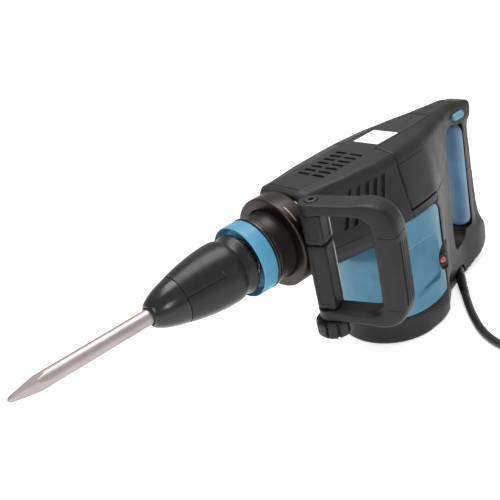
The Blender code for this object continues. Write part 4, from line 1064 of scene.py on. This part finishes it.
def post_piece(name, lo, hi, band_side):
    """One half of the handle's base: a square post with rounded edges, hollowed for the band."""
    loops = []
    heights = [(lo, 2.2), (lo + 0.6, 1.1), (lo + 1.8, 0.25), (lo + 3.0, 0.0), (hi - 3.0, 0.0), (hi - 1.8, 0.25), (hi - 0.6, 1.1), (hi, 2.2)]
    outline = fillet([(-12.3, -12.3), (12.3, -12.3), (12.3, 12.3), (-12.3, 12.3)], 4.4, 6, True)
    for z, inset in heights:
        k = 1 - inset / 12.3
        loops.append([W(*at(s * k, n * k, z)) for s, n in outline])
    bm = bmesh.new()
    rings(bm, loops)
    body = make(name, bm, 40)
    # two shallow panels down the visible sides
    panels = []
    a, b = lo + 7.0, hi - 7.0
    for s0, s1, n0, n1 in ((11.85, 16.0, -6.6, 6.6), (-6.6, 6.6, -16.0, -11.85), (-6.6, 6.6, 11.85, 16.0)):
        panels.append(prism("panel", [at(s0, n0, 0)[:2], at(s1, n0, 0)[:2], at(s1, n1, 0)[:2], at(s0, n1, 0)[:2]], a, b, axis="z"))
    cut(body, group("panels", panels), angle=40)
    cut(body, rod("post_way", lo - 5, hi + 5, 4.5, "z", (BOLT_T, BOLT_Y), 32), angle=40)
    cut(body, rod("post_band", 176.5, 206.5, BAND_R + 0.5, steps=120), angle=40)
    return cut(body, rod("post_barrel", 150.0, 240.0, SEAT_R + 0.6, steps=120), angle=40)


fit(post_piece("handle_base_upper_fine", 8.6, 45.7, 1), BLACK, "handle_base_upper")
fit(post_piece("handle_base_lower_fine", -75.7, 7.2, -1), BLACK, "handle_base_lower")


def post_highlight_strip(name, lo, hi):
    """A bright strip down the rear corner of the post: a painted highlight on that edge."""
    loops = []
    for k in range(19):
        w = k / 18
        z = lo + (hi - lo) * w
        r = 0.85 * math.sqrt(max(0.03, 1 - (2 * w - 1) ** 8))
        loops.append([W(*at(11.4 + r * math.cos(u), 11.4 + r * 0.8 * math.sin(u), z)) for u in [2 * math.pi * m / 10 for m in range(10)]])
    bm = bmesh.new()
    rings(bm, loops)
    return make(name, bm)


# painted highlight: light strips down the rear corners of the upper and lower posts
fit(post_highlight_strip("strap_edge_upper", 10.4, 44.6), HIGHLIGHT_STEEL, body="handle_clamp", slot="band_steel")
fit(post_highlight_strip("strap_edge_lower", -64.0, 5.6), HIGHLIGHT_STEEL, body="handle_clamp", slot="band_steel")


def bolt_piece():
    body = turned("handle_bolt_fine", [(-106.0, 0), (-106.0, 3.9), (55.6, 3.9), (55.6, 7.2), (60.2, 7.2), (61.1, 6.3), (61.1, 0)], 0.4, "z", (BOLT_T, BOLT_Y), 64)
    hexagon = [(BOLT_T + 3.7 * math.cos(math.radians(60 * k + 10)), BOLT_Y + 3.7 * math.sin(math.radians(60 * k + 10))) for k in range(6)]
    return cut(body, prism("hex", hexagon, 57.2, 64.0, axis="z"))


fit(bolt_piece(), OXIDE, "handle_bolt")


def knob_piece():
    def bulge(z, ang, r):
        if r < 9:
            return r
        deg = math.degrees(ang) % 36.0
        w = abs(deg - 18.0) / 18.0
        slot = 1 - smooth_step((w - 0.10) / 0.16)
        lobe = 0.5 * w * w
        depth = 3.4 * slot * min(1.0, max(0.0, (r - 12.0) / 6.0)) + lobe
        return r - depth

    angles = [math.radians(1.5 * k) for k in range(240)]
    profile = [(-114.0, 0), (-114.0, 12.0), (-113.7, 15.5), (-112.6, 18.4), (-110.6, 20.9), (-108.0, 22.1), (-97.0, 22.3), (-93.6, 21.8), (-91.4, 20.4), (-90.4, 17.6), (-90.4, 12.0), (-90.4, 0)]
    body = turned("clamp_knob_fine", profile, 0.8, "z", (BOLT_T, BOLT_Y), bulge=bulge, angles=angles, angle=40)
    return cut(body, rod("knob_way", -107.0, -80.0, 4.3, "z", (BOLT_T, BOLT_Y), 32), angle=40)


fit(knob_piece(), GRIP, "clamp_knob")

# ---------------------------------------------------------------- mains lead
GUARD_PATH = [(500.0, -14.0, -189.8), (488.0, -26.0, -192.6), (476.0, -37.6, -195.2), (463.0, -49.4, -197.2), (449.0, -62.4, -198.4)]
CORD_ROUTE = [
    (449.0, -62.4, -198.4), (436.0, -74.6, -199.0), (420.0, -90.0, -199.15), (399.0, -113.0, -199.15), (380.0, -138.0, -199.15),
    (368.0, -168.0, -199.15), (367.0, -200.0, -199.15), (378.0, -234.0, -199.15), (402.0, -268.0, -199.15), (440.0, -296.0, -199.15), (486.0, -307.4, -199.15),
]
COIL_T, COIL_Y, PLUG_T = 500.0, -215.0, 593.0


def smooth_route(points, each):
    pts = [Vector(p) for p in points]
    ends = [2 * pts[0] - pts[1]] + pts + [2 * pts[-1] - pts[-2]]
    dense = []
    for i in range(1, len(ends) - 2):
        p0, p1, p2, p3 = ends[i - 1], ends[i], ends[i + 1], ends[i + 2]
        for k in range(24):
            w = k / 24.0
            dense.append(0.5 * ((2 * p1) + (p2 - p0) * w + (2 * p0 - 5 * p1 + 4 * p2 - p3) * w * w + (3 * p1 - p0 - 3 * p2 + p3) * w ** 3))
    dense.append(pts[-1])
    out, run = [dense[0]], 0.0
    for a, b in zip(dense, dense[1:]):
        run += (b - a).length
        if run >= each:
            out.append(b)
            run = 0.0
    if (out[-1] - dense[-1]).length > each * 0.4:
        out.append(dense[-1])
    else:
        out[-1] = dense[-1]
    return out


def coil_points():
    """The stored length: three layers of four turns, wound inwards, outwards and
    inwards, then over the top of the coil to the plug."""
    pitch, base = 11.62, -199.15
    radii = [45.9 + pitch * k for k in range(4)]
    out = []
    shift = math.radians(110)
    order = [(0, [3, 2, 1, 0]), (1, [0, 1, 2, 3]), (2, [3, 2, 1, 0])]
    angle = math.radians(-62.0)
    start_r = radii[3]
    steps = 22
    turns = [(layer, r) for layer, seq in order for r in seq]
    for i, (layer, k) in enumerate(turns):
        last = i == len(turns) - 1
        for j in range(steps):
            u = 2 * math.pi * j / steps
            r, z = radii[k], base + pitch * layer
            into = u - (2 * math.pi - shift)
            if into > 0 and not last:
                w = smooth_step(into / shift)
                nlayer, nk = turns[i + 1]
                if nlayer == layer:
                    r += (radii[nk] - radii[k]) * w
                else:
                    sign = 1.0 if k == 3 else -1.0
                    other = radii[k] - sign * pitch * (1 - w)
                    r = other + sign * pitch * math.cos(math.pi / 2 * w)
                    z += pitch * math.sin(math.pi / 2 * w)
            a = angle + u
            out.append((COIL_T + r * math.cos(a), COIL_Y + r * math.sin(a), z))
            if last and u > math.radians(225):
                break
        angle += 2 * math.pi
    return out


def lead_out(start):
    """From the end of the last turn, out over the coil and down to the plug."""
    p = Vector(start)
    rel = Vector((p.x - COIL_T, p.y - COIL_Y))
    a0, r0, z0 = math.atan2(rel.y, rel.x), rel.length, p.z
    end = Vector((PLUG_T, -207.0))
    a1 = math.atan2(end.y - COIL_Y, end.x - COIL_T)
    while a1 < a0 + math.radians(60):
        a1 += 2 * math.pi
    r1 = (end - Vector((COIL_T, COIL_Y))).length
    top, low = -199.15 + 11.62 * 3 + 0.3, -193.0
    out = []
    n = 26
    for k in range(1, n + 1):
        w = k / n
        a = a0 + (a1 - a0) * w
        r = r0 + (r1 + 1.5 - r0) * smooth_step((w - 0.02) / 0.74)
        if w > 0.8:
            r = r1 + 1.5 * (1 - (w - 0.8) / 0.2)
        rise = smooth_step(w / 0.16)
        fall = smooth_step((w - 0.56) / 0.44)
        z = z0 + (top - z0) * rise + (low - top) * fall
        out.append((COIL_T + r * math.cos(a), COIL_Y + r * math.sin(a), z))
    return out


def cord_piece():
    free = [tuple(p) for p in smooth_route(CORD_ROUTE, 17.0)]
    p = Vector(free[-1])
    a0 = math.atan2(p.y - COIL_Y, p.x - COIL_T)
    r0 = math.hypot(p.x - COIL_T, p.y - COIL_Y)
    turns = coil_points()
    a1, r1 = math.radians(-62.0), 45.9 + 11.62 * 3
    join = []
    for k in range(1, 3):
        w = k / 3
        r = r0 + (r1 - r0) * smooth_step(w)
        a = a0 + (a1 - a0) * w
        join.append((COIL_T + r * math.cos(a), COIL_Y + r * math.sin(a), -199.15))
    points = free + join + turns
    points += lead_out(points[-1])
    path = [W(*p) for p in points]
    curve = bpy.data.curves.new("mains_lead", "CURVE")
    curve.dimensions = "3D"
    curve.bevel_depth, curve.bevel_resolution, curve.use_fill_caps = CORD_R / 1000.0, 4, True
    curve.resolution_u = 3
    spline = curve.splines.new("NURBS")
    spline.points.add(len(path) - 1)
    for point, q in zip(spline.points, path):
        point.co = (*q, 1.0)
    spline.order_u, spline.use_endpoint_u = 4, True
    curve.materials.append(CORD_SKIN)
    obj = bpy.data.objects.new("mains_lead", curve)
    scene.collection.objects.link(obj)
    return obj, path


lead, lead_path = cord_piece()
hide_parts("cord", "cord_coil")
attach(lead, "machine")


def guard_piece():
    route = smooth_route(GUARD_PATH, 2.0)
    total = len(route) - 1
    loops = []
    for i, p in enumerate(route):
        along = (route[min(i + 1, total)] - route[max(i - 1, 0)]).normalized()
        side = along.cross(Vector((0, 0, 1))).normalized()
        up = side.cross(along)
        w = i / total
        r = 7.9 - 1.6 * w - (0.55 if 0.22 < w < 0.94 and i % 3 == 0 else 0.0)
        if i == total:
            r = 6.0
        loops.append([W(*(p + side * (r * math.cos(a)) + up * (min(r, p.z + 204.6) * math.sin(a)))) for a in [2 * math.pi * k / 40 for k in range(40)]])
    bm = bmesh.new()
    rings(bm, loops)
    return make("cord_guard_fine", bm, 60)


fit(guard_piece(), RUBBER, "cord_guard")


def plug_piece():
    rows = [(-206.0, 6.1, 6.0), (-203, 6.3, 6.2), (-190.0, 7.4, 7.2), (-184.0, 7.9, 7.7), (-181.0, 10.4, 8.8), (-176.0, 13.6, 10.2), (-170.0, 15.6, 10.9), (-160, 16.8, 11.2), (-150.0, 17.8, 11.4), (-142.0, 18.4, 11.6), (-138.2, 18.3, 11.5), (-137.2, 17.4, 10.8), (-137.0, 16.2, 9.8)]
    ys = [r[0] for r in rows]
    loops = []
    stations = sorted(set(list(np.linspace(-206, -184.5, 22)) + list(np.linspace(-184, -139, 24)) + [-138.2, -137.6, -137.2, -137.0]))
    for i, y in enumerate(stations):
        hw, hh = pchip(ys, [(r[1], r[2]) for r in rows], y)
        if -202 < y < -187 and i % 3 == 0:
            hw, hh = hw - 0.7, hh - 0.7
        if -176 < y < -150:
            hw -= 1.1 * math.sin(math.pi * (y + 176) / 26.0) ** 2
        loops.append([W(PLUG_T + hw * math.copysign(abs(math.cos(a)) ** 0.62, math.cos(a)), y, -193.0 + hh * math.copysign(abs(math.sin(a)) ** 0.62, math.sin(a)))
                      for a in [2 * math.pi * (k + 0.5) / 56 for k in range(56)]])
    bm = bmesh.new()
    rings(bm, loops)
    body = make("plug_body_fine", bm, 50)
    ways = [rod(f"pin_way_{k}", -142.0, -130.0, 2.6, "y", (PLUG_T + dt, -193.0), 32) for k, dt in enumerate((-9.5, 9.5))]
    return cut(body, group("pin_ways", ways), angle=50)


plug = fit(plug_piece(), RUBBER, "plug_body")
for name, dt in (("left", -9.5), ("right", 9.5)):
    fit(turned(f"plug_pin_{name}_fine", [(-141.0, 0), (-141.0, 2.4), (-120.0, 2.4), (-118.6, 1.6), (-118.0, 0)], 0.5, "y", (PLUG_T + dt, -193.0), 40), BRASS, f"plug_pin_{name}")

lengths = sum((b - a).length for a, b in zip(lead_path, lead_path[1:]))


def tie_piece():
    """A strap round the stored coil, where its turns lie side by side."""
    a = math.radians(60.0)
    radial, across = Vector((math.cos(a), math.sin(a), 0)), Vector((-math.sin(a), math.cos(a), 0))
    centre = Vector((COIL_T, COIL_Y, 0))
    outline = fillet([(39.6, -204.3), (87.2, -204.3), (87.2, -169.4), (39.6, -169.4)], 6.5, 8, True)
    mid = Vector((63.4, -186.8))
    loops = []
    n = len(outline)
    for i, (r, z) in enumerate(outline):
        before, after = Vector(outline[i - 1]), Vector(outline[(i + 1) % n])
        d = (after - before).normalized()
        out = Vector((d.y, -d.x))
        if out.dot(Vector((r, z)) - mid) < 0:
            out = -out
        loop = []
        for o, w in ((-0.5, -2.6), (0.5, -2.6), (0.5, 2.6), (-0.5, 2.6)):
            q = centre + radial * (r + out.x * o) + across * w + Vector((0, 0, z + out.y * o))
            loop.append(W(*q))
        loops.append(loop)
    bm = bmesh.new()
    rings(bm, loops, caps=False, closed=True)
    return make("lead_tie", bm, 60)


fit(tie_piece(), RUBBER, body="machine", slot="black_rubber")

# ---------------------------------------------------------------- inner pieces keep their CAD shape
FINISH = {
    "tool_holder": MACHINED, "lock_roller_left": MACHINED, "lock_roller_right": MACHINED, "sleeve_spring": MACHINED,
    "impact_bolt": MACHINED, "striker": MACHINED, "cylinder_liner": MACHINED, "wrist_pin": MACHINED, "connecting_rod": MACHINED,
    "crank_gear": MACHINED, "crank_bearing": MACHINED, "armature_shaft": MACHINED, "armature_core": MACHINED, "stator": MACHINED,
    "upper_bearing": MACHINED, "lower_bearing": MACHINED, "handle_screw_1": MACHINED, "handle_screw_2": MACHINED,
    "barrel_bolt_1": MACHINED, "barrel_bolt_2": MACHINED, "barrel_bolt_3": MACHINED, "barrel_bolt_4": MACHINED,
    "piston": ALUMINIUM, "commutator": BRASS, "brush_holder_left": BRASS, "brush_holder_right": BRASS,
    "brush_left": CARBON, "brush_right": CARBON, "controller": BOARD, "switch_unit": BLACK, "cooling_fan": BLACK,
}
for name, material in FINISH.items():
    node = nodes[name]
    node.data.materials.clear()
    node.data.materials.append(material)
    node.data.shade_smooth()
    node.data.set_sharp_from_angle(angle=math.radians(34))

# ---------------------------------------------------------------- floor and light
def stage():
    bm = bmesh.new()
    rings(bm, [[Vector((x, y, 0.0)) for x, y in ((-30, -30), (30, -30), (30, 30), (-30, 30))]], caps=False)
    bm.verts.ensure_lookup_table()
    bm.faces.new(list(bm.verts))
    mesh = bpy.data.meshes.new("studio_floor")
    bm.to_mesh(mesh)
    bm.free()
    floor = bpy.data.objects.new("studio_floor", mesh)
    scene.collection.objects.link(floor)
    white = bpy.data.materials.new("studio_floor")
    white.use_nodes = True
    shader = white.node_tree.nodes["Principled BSDF"]
    shader.inputs["Base Color"].default_value = (0.93, 0.93, 0.93, 1)
    shader.inputs["Roughness"].default_value = 0.9
    shader.inputs["Specular IOR Level"].default_value = 0.1
    shader.inputs["Emission Color"].default_value = (1.0, 1.0, 1.0, 1)
    shader.inputs["Emission Strength"].default_value = 0.55
    mesh.materials.append(white)


stage()


def area(name, place, target, size, power, colour=(1, 1, 1)):
    data = bpy.data.lights.new(name, "AREA")
    data.shape, data.size, data.size_y = "RECTANGLE", size[0], size[1]
    data.energy, data.color = power, colour
    obj = bpy.data.objects.new(name, data)
    scene.collection.objects.link(obj)
    obj.location = place
    obj.rotation_mode = "QUATERNION"
    obj.rotation_quaternion = (Vector(target) - Vector(place)).to_track_quat("-Z", "Y")


area("top_softbox", (0.12, 0.20, 1.45), (0.03, 0.0, 0.2), (1.2, 0.8), 20.0)
area("nose_softbox", (-0.72, -1.02, 0.74), (-0.32, 0.0, 0.2), (0.14, 0.34), 2.6)
area("front_softbox", (-1.25, -0.25, 0.75), (-0.25, 0.0, 0.2), (0.35, 0.5), 3.2)
area("side_softbox", (0.55, -1.5, 0.70), (0.05, 0.0, 0.15), (0.5, 0.8), 1.0)
world = scene.world or bpy.data.worlds.new("studio")
scene.world = world
world.use_nodes = True
world.node_tree.nodes["Background"].inputs["Color"].default_value = (1.0, 1.0, 1.0, 1)
world.node_tree.nodes["Background"].inputs["Strength"].default_value = 0.52
scene.view_settings.view_transform = "Standard"
